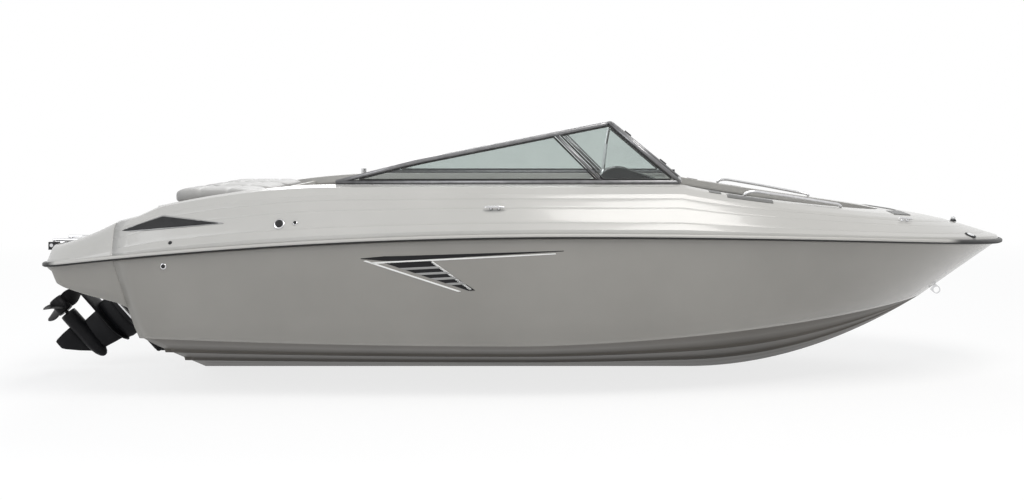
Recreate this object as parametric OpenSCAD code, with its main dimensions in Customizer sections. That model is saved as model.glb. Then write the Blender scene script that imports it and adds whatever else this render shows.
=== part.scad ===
// Bowrider speedboat with a tilting stern drive, in millimetres.
// +X is forward, +Y is port and +Z is up. The origin lies on the centreline at the
// waterline, above the point where the floating hull balances.
// Inside the modules x runs forward from the foot of the transom and z up from the keel.

/* [Hull] */
// From the foot of the transom to the bow tip
bow_x = 5836; // [5400:1:7000]
// Greatest beam at the rub rail
beam = 2540; // [2400:1:2800]
// Greatest beam at the chines
chine_beam = 2260; // [2050:1:2400]
// Height of the rub rail at its highest point
sheer_height = 1077; // [950:1:1150]
// Height of the chines amidships
chine_height = 345; // [280:1:410]
// Where the keel starts to rise into the stem
forefoot_x = 3550; // [3200:1:4200]
// Lean of the transom, top aft, in degrees
transom_rake = 14; // [10:0.5:16]
// Thickness of the hull laminate
hull_wall = 14; // [9:1:20]
// Thickness of the transom board
transom_t = 50; // [35:1:65]
// Depth of hull under the waterline
draught = 430; // [380:1:480]

/* [Deck and cockpit] */
// Height of the coaming at its highest point
crest_height = 1385; // [1300:1:1500]
// Thickness of the deck moulding
deck_wall = 9; // [6:1:12]
// Half the clear width of the cockpit
cockpit_half = 880; // [800:1:930]
// Height of the cockpit sole above the keel
sole_z = 560; // [520:1:620]
// Height of the bow cockpit sole
bow_sole_z = 690; // [650:1:740]
// Thickness of the cockpit liner
liner_wall = 8; // [6:1:12]
// Half the clear width of the walk-through between the consoles
walk_half = 280; // [240:1:320]
// Length of the swim platform behind the transom foot
platform_l = 715; // [640:1:800]
// Height of the swim platform's top
platform_z = 985; // [960:1:1010]

/* [Windshield] */
// Height of the header above the keel
header_z = 1792; // [1700:1:1900]
// Radius of the frame rails
rail_r = 15; // [10:1:18]
// Thickness of the glass
glass_t = 6; // [4:1:8]

/* [Seats] */
// Height of the seat cushions above the sole
seat_h = 420; // [380:1:480]
// Thickness of the seat cushions
cushion_t = 110; // [90:1:130]

/* [Stern drive] */
// Tilt of the drive as it is stored, in degrees
tilt_up = 48; // [40:1:50]
// From the pivot down to the propeller shaft
drive_drop = 550; // [500:1:600]
// From the pivot back to the propeller's middle
drive_reach = 600; // [560:1:660]
// Diameter of the propeller
prop_d = 370; // [330:1:390]
// Radius of the propeller shaft
shaft_r = 16; // [12:1:20]

/* [Hidden] */
balance_x = 2300;                       // fore and aft place of the origin
half_beam = beam / 2;
half_chine = chine_beam / 2;
fit = 0.3;                              // gap where pieces seat on each other
gap = 6;                                // running gap round what moves
overlap = 2;                            // how far joined shapes run into each other

stern_x = -platform_l;
sheer_top_x = 2700;                     // where the rub rail is highest
stern_drop = 200;
bow_drop = 137;
stem_power = 2;
bow_z = sheer_height - bow_drop;
rail_stations = 26;
transom_top_x = -sheer_z(-240) * tan(transom_rake);

chine_low_x = 2400;                     // where the chine is lowest
chine_fore_rise = 190;
chine_aft_rise = 45;
chine_end_z = chine_height + chine_fore_rise;
chine_end_x = forefoot_x + (bow_x - forefoot_x) * pow(chine_end_z / bow_z, 1 / stem_power);
stem_half = 3;                          // half the width of the stem's edge

crest_aft_x = 1130;                     // the coaming falls aft of here
crest_fore_x = 3450;                    // and forward of here
crest_aft_drop = 135;
crest_bow_drop = 320;
bow_seat_x = 3300;                      // where the bow cockpit starts
opening_end_x = 4950;                   // forward end of the bow cockpit
hatch_x = -50;                          // aft end of the engine hatch
bench_x = 620;                          // forward end of the engine compartment
lip_h = 70;                             // depth of the coaming's inner lip
hatch_t = 25;
hatch_z = crest_height - crest_aft_drop - 10;   // top of the engine hatch
hatch_under_z = hatch_z - hatch_t - fit;
sole_t = 20;
console_aft_x = 2760;
console_fore_x = 3480;
console_half = cockpit_half - 10;       // the consoles stand clear of the liner as it narrows
dash_z = crest_height - 25;

function lerp(a, b, t) = a + (b - a) * t;
function unit(v) = v / norm(v);
function flip(p) = [p.x, -p.y, p.z];
function reversed(list) = [for (i = [len(list) - 1:-1:0]) list[i]];

// A rounded end: 1 where t is 0, falling to 0 where t is 1.
function taper(t, full, round_off) = pow(max(0, 1 - pow(max(0, t), full)), round_off);

// The longitudinal curves of the hull.
function keel_z(x) = bow_z * pow(max(0, x - forefoot_x) / (bow_x - forefoot_x), stem_power);
function sheer_z(x) = x < sheer_top_x
    ? sheer_height - stern_drop * pow((sheer_top_x - x) / (sheer_top_x + platform_l), 2)
    : sheer_height - bow_drop * pow((x - sheer_top_x) / (bow_x - sheer_top_x), 2);
function sheer_y(x) = x < 2400
    ? half_beam - 50 * pow((2400 - x) / 2400, 2)
    : half_beam * taper((x - 2400) / (bow_x - 2400), 2.4, 0.6);
function chine_z(x) = x < chine_low_x
    ? chine_height + chine_aft_rise * pow((chine_low_x - x) / chine_low_x, 2)
    : chine_height + chine_fore_rise * pow((x - chine_low_x) / (chine_end_x - chine_low_x), 1.5);
function chine_y(x) = x < 2200
    ? half_chine - 30 * pow((2200 - x) / 2200, 2)
    : half_chine * taper((x - 2200) / (chine_end_x - 2200), 2.4, 0.8);
function crest_z(x) = x < 0
    ? lerp(platform_z, crest_height - crest_aft_drop, pow(max(0, 1 + x / platform_l), 1.3))
    : x < crest_fore_x
    ? crest_height - crest_aft_drop * pow(max(0, 1 - x / crest_aft_x), 1.8)
    : crest_height - crest_bow_drop * pow((x - crest_fore_x) / (bow_x - crest_fore_x), 0.8);
function opening_y(x) =
    cockpit_half * taper((x - bow_seat_x) / (opening_end_x - bow_seat_x), 2.2, 0.6);

// Stations lie closer together towards the bow.
function share(i) = sin(90 * i / rail_stations);
function rail_point(i) = let (x = lerp(transom_top_x, bow_x, share(i))) [x, sheer_y(x), sheer_z(x)];
function opening_point(i) = let (x = lerp(transom_top_x, opening_end_x, share(i)))
    [x, opening_y(x), crest_z(x)];
// Port side from aft to the bow and back along starboard.
function both_sides(side) = concat(side, [for (i = [len(side) - 2:-1:0]) flip(side[i])]);

// A closed skin between two grids of points, stations by section points.
module skin(outer, inner) {
    rows = len(outer);
    cols = len(outer[0]);
    shift = rows * cols;
    function at(i, j) = i * cols + j;
    function quad(a, b, c, d) = [[a, b, c], [a, c, d]];
    out_faces = [for (i = [0:rows - 2], j = [0:cols - 2])
        each quad(at(i, j), at(i, j + 1), at(i + 1, j + 1), at(i + 1, j))];
    in_faces = [for (i = [0:rows - 2], j = [0:cols - 2])
        each quad(shift + at(i, j), shift + at(i + 1, j), shift + at(i + 1, j + 1), shift + at(i, j + 1))];
    side_faces = [for (i = [0:rows - 2]) each concat(
        quad(at(i, 0), at(i + 1, 0), shift + at(i + 1, 0), shift + at(i, 0)),
        quad(at(i + 1, cols - 1), at(i, cols - 1), shift + at(i, cols - 1), shift + at(i + 1, cols - 1)))];
    end_faces = [for (j = [0:cols - 2]) each concat(
        quad(at(0, j + 1), at(0, j), shift + at(0, j), shift + at(0, j + 1)),
        quad(at(rows - 1, j), at(rows - 1, j + 1),
            shift + at(rows - 1, j + 1), shift + at(rows - 1, j)))];
    polyhedron(concat([for (r = outer) each r], [for (r = inner) each r]),
        concat(out_faces, in_faces, side_faces, end_faces), convexity = 8);
}

// The same grid moved by the wall along its own normals.
function thickened(grid, wall) = let (rows = len(grid), cols = len(grid[0]))
    [for (i = [0:rows - 1]) [for (j = [0:cols - 1])
        let (along = grid[min(i + 1, rows - 1)][j] - grid[max(i - 1, 0)][j],
            across = grid[i][min(j + 1, cols - 1)] - grid[i][max(j - 1, 0)])
        grid[i][j] + wall * unit(cross(along, across))]];

// A solid lofted through closed sections; the end caps are fans from the first point.
module loft(sections) {
    rows = len(sections);
    cols = len(sections[0]);
    function at(i, j) = i * cols + j % cols;
    polyhedron([for (r = sections) each r], concat(
        [for (i = [0:rows - 2], j = [0:cols - 1], k = [0, 1])
            k == 0 ? [at(i, j), at(i, j + 1), at(i + 1, j + 1)]
            : [at(i, j), at(i + 1, j + 1), at(i + 1, j)]],
        [for (j = [1:cols - 2]) each [[at(0, j + 1), at(0, j), at(0, 0)],
            [at(rows - 1, 0), at(rows - 1, j), at(rows - 1, j + 1)]]]),
        convexity = 8);
}

module at_waterline() translate([-balance_x, 0, -draught]) children();

// Copies on both sides of the centreline.
module port_and_starboard() {
    children();
    mirror([0, 1, 0]) children();
}

// A profile in x and z, carried across from one y to another.
module across(y0, y1, profile)
    translate([0, y1, 0]) rotate([90, 0, 0]) linear_extrude(y1 - y0) polygon(profile);

// A sphere of n segments whose flats touch the true radius.
function ball_reach(r, n) = r / cos(180 / n);
module ball(r, n) sphere(ball_reach(r, n), $fn = n);

// A round rod from one point to another.
module rod(a, b, r) {
    d = b - a;
    translate(a) rotate([0, acos(d.z / norm(d)), atan2(d.y, d.x)])
        cylinder(h = norm(d), r = r, $fn = 24);
}

// A chain of rods with round corners.
module tube(points, r) {
    for (i = [0:len(points) - 2]) rod(points[i], points[i + 1], r);
    for (p = points) translate(p) sphere(r = r, $fn = 24);
}

// The same as a plain mesh, for frames whose rails meet at sharp angles.
module rails(points, r, n = 12) for (i = [0:len(points) - 2]) hull()
    for (p = [points[i], points[i + 1]]) translate(p) ball(r, n);

// A cushion: a block rounded along every edge.
module cushion(size, r) hull()
    for (x = [r, size.x - r], y = [r, size.y - r], z = [r, size.z - r])
        translate([x, y, z]) ball(r, 16);

/* Hull */

// Topsides from the chine up: share of the height, share of the way out amidships
// and at the bow.
topside = [[1, 1, 1], [0.72, 0.86, 0.62], [0.4, 0.6, 0.3], [0.15, 0.32, 0.1]];
// Bottom from the chine in: share of the half beam, drop below the straight line.
bottom = [[1, 0], [0.955, -0.035], [0.645, 0], [0.64, 0.055], [0.585, 0],
    [0.345, 0], [0.34, 0.05], [0.29, 0]];

function hull_half(i, inset) = let (s = share(i), end = 2 * inset,
    kx = lerp(0, chine_end_x - end, s),
    cx = lerp(-chine_z(0) * tan(transom_rake), chine_end_x - end, s),
    rx = lerp(transom_top_x, bow_x - 2 - end, s),
    keel = [kx, 0, keel_z(kx) + inset],
    chine = [cx, max(chine_y(cx) - inset, stem_half), chine_z(cx) + inset * 0.8],
    rail = [rx, max(sheer_y(rx) - inset, stem_half), sheer_z(rx)],
    bow = pow(s, 6))
    concat(
        [for (r = topside) [lerp(chine.x, rail.x, r[0]),
            lerp(chine.y, rail.y, lerp(r[1], r[2], bow)), lerp(chine.z, rail.z, r[0])]],
        [for (r = bottom) [lerp(keel.x, chine.x, r[0]), chine.y * r[0],
            lerp(keel.z, chine.z, r[0] - r[1])]],
        [keel]);
function hull_section(i, inset) = let (half = hull_half(i, inset))
    concat(half, [for (j = [len(half) - 2:-1:0]) flip(half[j])]);

module hull_shell() color([0.70, 0.69, 0.67])
    skin([for (i = [0:rail_stations]) hull_section(i, 0)],
        [for (i = [0:rail_stations]) hull_section(i, hull_wall)]);

// The board that closes the hull aft, inside the shell.
module transom_board() color([0.70, 0.69, 0.67]) {
    inset = hull_wall + 1;
    floor_gap = 16;                     // room for the chine and strakes inside the shell
    lift = 1 / cos(transom_rake);
    rotate([0, -transom_rake, 0]) rotate([90, 0, 90])
        linear_extrude(transom_t) polygon([
            [0, (hull_wall + floor_gap) * lift],
            [half_chine - 30 - inset - 12, (chine_z(0) + inset + floor_gap) * lift],
            [sheer_y(transom_top_x) - inset - 0.5, (sheer_z(transom_top_x) - 6) * lift],
            [-sheer_y(transom_top_x) + inset + 0.5, (sheer_z(transom_top_x) - 6) * lift],
            [-half_chine + 30 + inset + 12, (chine_z(0) + inset + floor_gap) * lift]]);
}

/* Deck */

// From the rub rail in to the cockpit's lip: share of the way across, share of the rise.
deck_profile = [[0, 0], [0.02, 0.11], [0.11, 0.24], [0.28, 0.54], [0.46, 0.82],
    [0.62, 0.96], [0.78, 1], [1, 1]];
rail_top = 3;                           // the deck starts this far above the hull

function deck_row(i) = let (
    s = share(i),
    outer = rail_point(i),
    inner = opening_point(i),
    bulge = 1 - 0.4 * pow(s, 6),
    row = concat(
        [for (r = deck_profile) let (x = lerp(outer.x, inner.x, r[0]))
            [x, lerp(outer.y, inner.y, r[0]), lerp(outer.z + rail_top, crest_z(x), pow(r[1], bulge))]],
        [[inner.x, inner.y, crest_z(inner.x) - lip_h]]))
    [for (p = row) i > 0 ? p : [-p.z * tan(transom_rake), p.y, p.z]];

module deck() color([0.82, 0.82, 0.80]) {
    side = [for (i = [0:rail_stations]) reversed(deck_row(i))];
    grid = concat(side, [for (i = [rail_stations - 1:-1:0]) [for (p = side[i]) flip(p)]]);
    // The inner face never dips below the hull's rim.
    skin(grid, [for (row = thickened(grid, -deck_wall)) [for (p = row)
        [p.x, p.y, max(p.z, sheer_z(p.x) + rail_top / 2)]]]);
}

// Stands its children on the port deck at station i, t of the way from profile
// point j to the next, with X forward and Z square to the surface.
module on_deck(i, j, t) {
    row = deck_row(i);
    ahead = deck_row(i + 1);
    astern = deck_row(i - 1);
    v = unit(row[j + 1] - row[j]);
    along = lerp(ahead[j], ahead[j + 1], t) - lerp(astern[j], astern[j + 1], t);
    n = unit(cross(v, along));
    u = cross(n, v);
    p = lerp(row[j], row[j + 1], t);
    multmatrix([[u.x, -v.x, n.x, p.x], [u.y, -v.y, n.y, p.y], [u.z, -v.z, n.z, p.z]]) children();
}

// The aft deck behind the engine hatch: a step and the wall up to the hatch.
module aft_deck() color([0.82, 0.82, 0.80])
    across(-cockpit_half + fit, cockpit_half - fit, [
        [transom_top_x, platform_z - 25],
        [hatch_x + 6, platform_z - 25], [hatch_x + 6, hatch_under_z], [hatch_x - 34, hatch_under_z],
        [hatch_x - 34, platform_z], [transom_top_x, platform_z]]);

platform_stations = [0, 0.35, 0.6, 0.78, 0.88, 0.95, 0.985, 1];
platform_corner = 150;                  // how far the corners are rounded in plan
// Lower edge of the side wings: share of the way aft, height.
wing_low = [[0.3, 590], [0.41, 637], [0.63, 687], [0.8, 735], [0.855, 759], [0.9, 837], [1, 866]];
wing_in = 60;                           // width of the wings' underside
platform_under_z = 860;

function wing_low_z(x) = lookup(-x / platform_l, wing_low);
function platform_y(x) = let (c = stern_x + platform_corner)
    sheer_y(x) - (x > c ? 0 : platform_corner * (1 - sqrt(max(0, 1 - pow((c - x) / platform_corner, 2)))));
// The hull's sides carried aft as wings, from the underside out and round to the well.
function wing_half(s) = let (
    x = lerp(transom_top_x, stern_x, s),
    y = platform_y(x),
    crest = max(crest_z(x), platform_z + 2),
    low = min(wing_low_z(x), sheer_z(x) - 12),
    keel_y = y - 14 - wing_in)
    [[keel_y - 16, platform_under_z], [keel_y, low], [y - 14, low], [y - 3, sheer_z(x) - 8],
        [y, sheer_z(x)], [y - 12, lerp(sheer_z(x), crest, 0.4)],
        [lerp(cockpit_half + 4, y, 0.4), crest], [cockpit_half + 4, crest],
        [cockpit_half, platform_z], [cockpit_half, platform_under_z]];
// The sections lean like the transom at the fore end and stand upright at the aft end.
function platform_point(s, p) = [lerp(transom_top_x - 1.5, stern_x, s)
    - (1 - s) * (p[1] - sheer_z(transom_top_x)) * tan(transom_rake), p[0], p[1]];

module swim_platform() color([0.82, 0.82, 0.80]) {
    port_and_starboard()
        loft([for (s = platform_stations) [for (p = wing_half(s)) platform_point(s, p)]]);
    across(-cockpit_half + fit, cockpit_half - fit, [
        [platform_point(0, [0, platform_under_z]).x, platform_under_z],
        [platform_point(0, [0, platform_z]).x, platform_z],
        [stern_x, platform_z], [stern_x, platform_under_z]]);
}

// Rub rail section: outwards, up.
rub_profile = [[0, -22], [22, -16], [26, -4], [22, 9], [0, 14]];

module rub_rail() color([0.08, 0.08, 0.08]) {
    aft = [for (s = [1, 0.985, 0.95, 0.88, 0.78, 0.6, 0.35])
        let (x = lerp(transom_top_x, stern_x, s)) [x, platform_y(x), sheer_z(x)]];
    line = both_sides(concat(aft, [for (i = [0:rail_stations]) rail_point(i)]));
    last = len(line) - 1;
    loft([for (i = [0:last])
        let (d = line[min(i + 1, last)] - line[max(i - 1, 0)], out = unit([-d.y, d.x, 0]))
        [for (p = rub_profile) line[i] + (p[0] + fit + 0.8) * out + [0, 0, p[1]]]]);
}

/* Cockpit */

module cockpit_sides() color([0.88, 0.87, 0.84]) {
    line = both_sides([for (i = [1:rail_stations]) opening_point(i)]);
    grid = [for (p = line) [for (z = [p.z - lip_h - fit, sole_z - sole_t]) [p.x, p.y, z]]];
    skin(thickened(grid, liner_wall), grid);
}

module cockpit_sole() color([0.55, 0.54, 0.51])
    translate([bench_x, -cockpit_half + 2, sole_z - sole_t])
        cube([bow_seat_x - bench_x, 2 * (cockpit_half - 2), sole_t]);

module bow_sole() color([0.55, 0.54, 0.51]) {
    side = [for (i = [0:rail_stations]) let (p = opening_point(i)) if (p.x > bow_seat_x + 60)
        [p.x - 2, max(0, p.y - 3)]];
    plan = concat([[bow_seat_x + fit, cockpit_half - 2]], side,
        [for (j = [len(side) - 2:-1:0]) [side[j].x, -side[j].y]],
        [[bow_seat_x + fit, -cockpit_half + 2]]);
    translate([0, 0, bow_sole_z - sole_t]) linear_extrude(sole_t) polygon(plan);
    translate([bow_seat_x + fit, -cockpit_half + 2, sole_z - sole_t])
        cube([sole_t, 2 * cockpit_half - 4, bow_sole_z - sole_z]);
}

// Box round the engine: the bulkhead behind the bench and the compartment's floor.
module engine_bay() color([0.62, 0.62, 0.60]) {
    bay_floor = 330;
    y = cockpit_half - fit;
    translate([bench_x - 25, -y, sole_z - sole_t])
        cube([25 - fit, 2 * y, crest_z(bench_x) - 30 - sole_z + sole_t]);
    translate([60, -500, bay_floor]) cube([bench_x - 25 - 60, 1000, 20]);
    translate([bench_x - 50, -500, bay_floor + 20]) cube([25, 1000, sole_z - sole_t - bay_floor]);
}

module engine() color([0.16, 0.16, 0.17])
    translate([75, -330, 350 + fit]) cube([460, 660, 640]);

/* Windshield */

base_z = crest_height + rail_r + fit;
shield_aft = [1150, 945, base_z];
shield_top = [2968, 840, header_z];
shield_fore = [3430, 905, base_z];
walk_top = [2985, walk_half + 30, header_z];
walk_foot = [3470, walk_half + 30, base_z];
side_bend = [1660, 915, lerp(shield_aft.z, shield_top.z, 0.335)];
divider_top = lerp(side_bend, shield_top, 0.72);
divider_foot = lerp(shield_aft, shield_fore, 0.775);

// A flat pane whose edges stand off the line through the corners by the rail.
module pane(corners, edge, t) {
    n = len(corners);
    inset = [for (i = [0:n - 1])
        let (p = corners[i], a = unit(corners[(i + 1) % n] - p), b = unit(corners[(i + n - 1) % n] - p))
        p + (a + b) * edge / norm(cross(a, b))];
    up = unit(cross(corners[1] - corners[0], corners[2] - corners[0])) * t / 2;
    fan = [for (i = [1:n - 2]) each [[0, i, i + 1], [n, n + i + 1, n + i]]];
    sides = [for (i = [0:n - 1]) let (j = (i + 1) % n) each [[i, n + i, n + j], [i, n + j, j]]];
    polyhedron(concat([for (p = inset) p - up], [for (p = inset) p + up]),
        concat(fan, sides), convexity = 4);
}

frame_n = 10;                           // segments round the frame rails

module windshield_frame() color([0.30, 0.30, 0.31]) port_and_starboard() {
    rails([walk_foot, shield_fore, shield_aft, side_bend, shield_top, walk_top, walk_foot], rail_r, frame_n);
    rails([shield_top, shield_fore], rail_r, frame_n);
    rails([divider_top, divider_foot], rail_r * 0.9, frame_n);
}

module side_glass() color([0.70, 0.85, 0.84, 0.4]) port_and_starboard() {
    edge = ball_reach(rail_r, frame_n) + fit;
    pane([shield_aft, divider_foot, divider_top, side_bend], edge, glass_t);
    pane([divider_foot, shield_fore, shield_top, divider_top], edge, glass_t);
}

module front_glass() color([0.70, 0.85, 0.84, 0.4]) port_and_starboard()
    pane([shield_fore, walk_foot, walk_top, shield_top], ball_reach(rail_r, frame_n) + fit, glass_t);

// Y-shaped struts from the header down to the dash.
module windshield_braces() color([0.78, 0.78, 0.79]) port_and_starboard() {
    foot = [2920, walk_half + 28, dash_z + fit];
    fork = [2952, walk_half + 28, header_z - 150];
    tube([foot + [0, 0, 8], fork], 8);
    rod(fork, walk_top + [-8, 12, -rail_r - 8], 6);
    rod(fork, lerp(walk_top, shield_top, 0.16) + [-8, 0, -rail_r - 8], 6);
    translate(foot) cylinder(h = 6, r = 18, $fn = 32);
}

door_rail_r = 11;
function door_corner(p, side) = [p.x, side * (walk_half + 30 - rail_r - gap - door_rail_r), p.z];

door_corners = [door_corner(walk_foot, 1), door_corner(walk_foot, -1),
    door_corner(walk_top, -1), door_corner(walk_top, 1)];

// The hinge line lies outside the glass: across from the frame rail, and out from it.
door_out = unit([walk_top.z - walk_foot.z, 0, walk_foot.x - walk_top.x]);
door_hinge = [22, 18];
knuckle_r = norm(door_hinge) - ball_reach(rail_r, frame_n) - 1;

module windshield_door() color([0.30, 0.30, 0.31]) {
    rails([for (i = [0:3]) each [door_corners[i], (door_corners[i] + door_corners[(i + 1) % 4]) / 2],
        door_corners[0]], door_rail_r);
    for (t = [0.2, 0.75]) rails([for (k = [-0.05, 0.05]) lerp(walk_foot, walk_top, t + k)
        + [0, -door_hinge[0], 0] + door_hinge[1] * door_out], knuckle_r);
}

module windshield_door_glass() color([0.70, 0.85, 0.84, 0.4])
    pane(door_corners, ball_reach(door_rail_r, 12) + fit, glass_t);

/* Consoles and steering */

console_profile = [[console_aft_x + 90, sole_z + fit], [console_aft_x + 90, 1010],
    [console_aft_x, 1080], [console_aft_x + 60, dash_z - 30], [console_aft_x + 110, dash_z],
    [console_fore_x - 40, dash_z], [console_fore_x, dash_z - 60],
    [console_fore_x + 20, bow_sole_z + fit], [bow_seat_x - fit, bow_sole_z + fit],
    [bow_seat_x - fit, sole_z + fit]];
wheel_y = -495;
wheel_r = 175;
hood_half = 160;
wheel_hub = [console_aft_x - 100, wheel_y, 1225];
wheel_lean = 112;                       // the steering shaft leans down towards the bow

module console_block(side) {
    y0 = side < 0 ? -console_half : walk_half;
    across(y0, y0 + console_half - walk_half, console_profile);
}

module helm_console() {
    color([0.88, 0.87, 0.84]) console_block(-1);
    color([0.10, 0.10, 0.11]) across(wheel_y - hood_half, wheel_y + hood_half, [
        [2860, dash_z], [2945, dash_z + 115], [3010, dash_z + 130], [3330, dash_z + 30], [3345, dash_z]]);
    translate(wheel_hub) rotate([0, wheel_lean, 0]) color([0.2, 0.2, 0.2])
        translate([0, 0, 14 + fit]) cylinder(h = 190, r = 30, $fn = 32);
}

module passenger_console() {
    color([0.88, 0.87, 0.84]) console_block(1);
    color([0.10, 0.10, 0.11]) across(-wheel_y - hood_half, -wheel_y + hood_half, [
        [2900, dash_z], [2960, dash_z + 30], [3250, dash_z + 18], [3270, dash_z]]);
}

module steering_wheel() color([0.12, 0.12, 0.12])
    translate(wheel_hub) rotate([0, wheel_lean, 0]) {
        rotate_extrude($fn = 64) translate([wheel_r, 0]) circle(15, $fn = 20);
        translate([0, 0, -12]) cylinder(h = 26, r = 48, $fn = 40);
        for (a = [0, 120, 240]) rotate(a) translate([30, -14, -5]) cube([wheel_r - 35, 28, 10]);
    }

module throttle_control() color([0.12, 0.12, 0.12]) {
    x = 2560;
    translate([x, -cockpit_half + fit, 1130]) cube([160, 45, 110]);
    rod([x + 80, -cockpit_half + 40, 1190], [x + 80, -cockpit_half + 75, 1190], 16);
    rod([x + 80, -cockpit_half + 68, 1190], [x + 100, -cockpit_half + 68, 1330], 11);
    translate([x + 100, -cockpit_half + 90, 1335]) rotate([90, 0, 0]) cylinder(h = 60, r = 17, $fn = 32);
}

/* Seats */

seat_x = 2130;
seat_y = 495;
seat_top = sole_z + seat_h;
bucket_half = 260;

module seat_pedestals() color([0.75, 0.75, 0.76]) port_and_starboard()
    translate([seat_x, seat_y, sole_z]) {
        cylinder(h = 12, r = 150, $fn = 48);
        cylinder(h = seat_h - cushion_t - 30, r = 38, $fn = 40);
    }

// A swivelling bucket seat on its plate.
module bucket_seat() translate([seat_x, 0, seat_top - cushion_t]) {
    color([0.2, 0.2, 0.2]) translate([0, 0, -30 + fit]) cylinder(h = 30 - 2 * fit, r = 120, $fn = 40);
    color([0.62, 0.61, 0.58]) {
        translate([-230, -bucket_half, 0]) cushion([500, 2 * bucket_half, cushion_t], 35);
        translate([-250, -bucket_half, cushion_t - 40]) rotate([0, -8, 0])
            cushion([100, 2 * bucket_half, 400], 40);
    }
}

module helm_seat() translate([0, -seat_y, 0]) bucket_seat();
module passenger_seat() translate([0, seat_y, 0]) bucket_seat();

bench_depth = 520;

module bench_base() color([0.88, 0.87, 0.84])
    translate([bench_x + fit, -cockpit_half + 3, sole_z + fit])
        cube([bench_depth - 30, 2 * cockpit_half - 6, seat_h - cushion_t - fit]);

module rear_bench() color([0.62, 0.61, 0.58]) {
    y = cockpit_half - 5;
    translate([bench_x + 4, -y, seat_top - cushion_t + fit])
        cushion([bench_depth, 2 * y, cushion_t], 35);
    translate([bench_x + 4, -y, seat_top + 2 * fit]) cushion([115, 2 * y, crest_z(bench_x) - seat_top], 35);
}

/* Engine hatch */

pad_half = 800;

module engine_hatch() color([0.82, 0.82, 0.80])
    translate([hatch_x, -cockpit_half + gap, hatch_z - hatch_t])
        cube([bench_x - 25 - gap - hatch_x, 2 * (cockpit_half - gap), hatch_t]);

module sun_pad() color([0.45, 0.45, 0.44])
    hull() for (y = [-pad_half + 30, pad_half - 30], x = [[hatch_x + 30, 50], [bench_x - 65, 105]])
        for (z = [30, x[1]]) translate([x[0], y, hatch_z + fit + z]) ball(30, 16);

/* Bow */

bow_seat_h = 250;

module bow_cushions() color([0.62, 0.61, 0.58]) port_and_starboard() {
    z = bow_sole_z + bow_seat_h;
    hull() for (p = [[3545, 330], [3545, 820], [4150, 330], [4500, 280], [4500, 520], [4200, 640]])
        translate([p[0], p[1], z + 25]) cylinder(h = 60, r = 25, $fn = 24);
}

module bow_seat_bases() color([0.88, 0.87, 0.84]) port_and_starboard() {
    outline = [[3510, 300], [3510, 840], [4150, 680], [4530, 540], [4530, 260], [4150, 300]];
    translate([0, 0, bow_sole_z + fit]) linear_extrude(bow_seat_h + 25 - 2 * fit) polygon(outline);
}

bolster_r = 18;
// From the wall's line to the bolster's middle, measured athwart.
function bolster_off(x) = (bolster_r + fit) * norm([1, opening_y(x + 1) - opening_y(x)]) + 2.5;

module bow_bolsters() color([0.42, 0.42, 0.41]) port_and_starboard()
    for (span = [[3560, 4120], [4200, 4640]])
        let (a = span[0], b = span[1])
        hull() for (x = [a, (a + b) / 2, b], z = [-88, -122])
            translate([x, opening_y(x) - bolster_off(x), crest_z(x) + z]) ball(bolster_r, 12);

/* Deck fittings */

module bow_rails() color([0.80, 0.80, 0.81]) port_and_starboard() {
    a = [3860, 900, crest_z(3860)];
    b = [4560, 640, crest_z(4560)];
    rails([a + [0, 0, 12], a + [40, -12, 45], lerp(a, b, 0.5) + [0, 8, 50], b + [-40, 14, 45],
        b + [0, 0, 12]], 11);
}

// Horn cleats: deck station, profile point, share of the way to the next.
cleat_places = [[7, 2, 0.95], [20, 3, 0.5]];

module cleats() color([0.80, 0.80, 0.81]) port_and_starboard()
    for (c = cleat_places) on_deck(c[0], c[1], c[2]) {
        for (x = [-25, 25]) translate([x, 0, fit]) cylinder(h = 19, r = 9, $fn = 24);
        translate([-70, -10, 17]) cube([140, 20, 11]);
    }

module nav_lights() color([0.15, 0.15, 0.16]) {
    row = deck_row(rail_stations);
    step = row[4] - row[3];
    translate(lerp(row[3], row[4], 0.5)) rotate([0, atan2(step.z, -step.x), 0]) {
        translate([0, 0, 1]) cylinder(h = 18, r = 24, $fn = 32);
        translate([0, 0, 19]) cylinder(h = 22, r = 18, $fn = 32);
    }
}

// Socket for the stern light's pole, a blind hole.
socket_r = 12.7;
socket_depth = 30;
socket_x = 1000;
socket_base_r = 22;
socket_at = [socket_x, cockpit_half + 50, crest_z(socket_x + socket_base_r)];

module stern_light_socket() color([0.80, 0.80, 0.81]) translate(socket_at) difference() {
    translate([0, 0, fit]) cylinder(h = socket_depth + 10, r = socket_base_r, $fn = 48);
    translate([0, 0, 10 + fit]) cylinder(h = socket_depth + 1, r = socket_r, $fn = 48);
}

// A U-shaped eye bolt standing out along +X.
module eye(reach, r, bar) rotate([90, 0, 0]) {
    difference() {
        hull() {
            translate([0, -bar, -bar]) cube([1, 2 * (r + bar), 2 * bar]);
            translate([reach - r - bar, r, -bar]) cylinder(h = 2 * bar, r = r + bar, $fn = 32);
        }
        translate([reach - r - bar, r, -2 * bar]) cylinder(h = 4 * bar, r = r, $fn = 32);
    }
}

bow_eye_z = 590;
bow_eye_x = forefoot_x + (bow_x - forefoot_x) * pow(bow_eye_z / bow_z, 1 / stem_power);

module bow_eye() color([0.80, 0.80, 0.81])
    translate([bow_eye_x + 1, 0, bow_eye_z]) rotate([0, 40, 0]) translate([0, 0, -25]) eye(65, 22, 7);

transom_eye_z = 640;
module transom_eyes() color([0.80, 0.80, 0.81]) port_and_starboard()
    translate([-transom_eye_z * tan(transom_rake) - fit, 700, transom_eye_z])
        rotate([0, 180 - transom_rake, 0]) translate([0, 0, -20]) eye(60, 20, 6);

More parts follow.
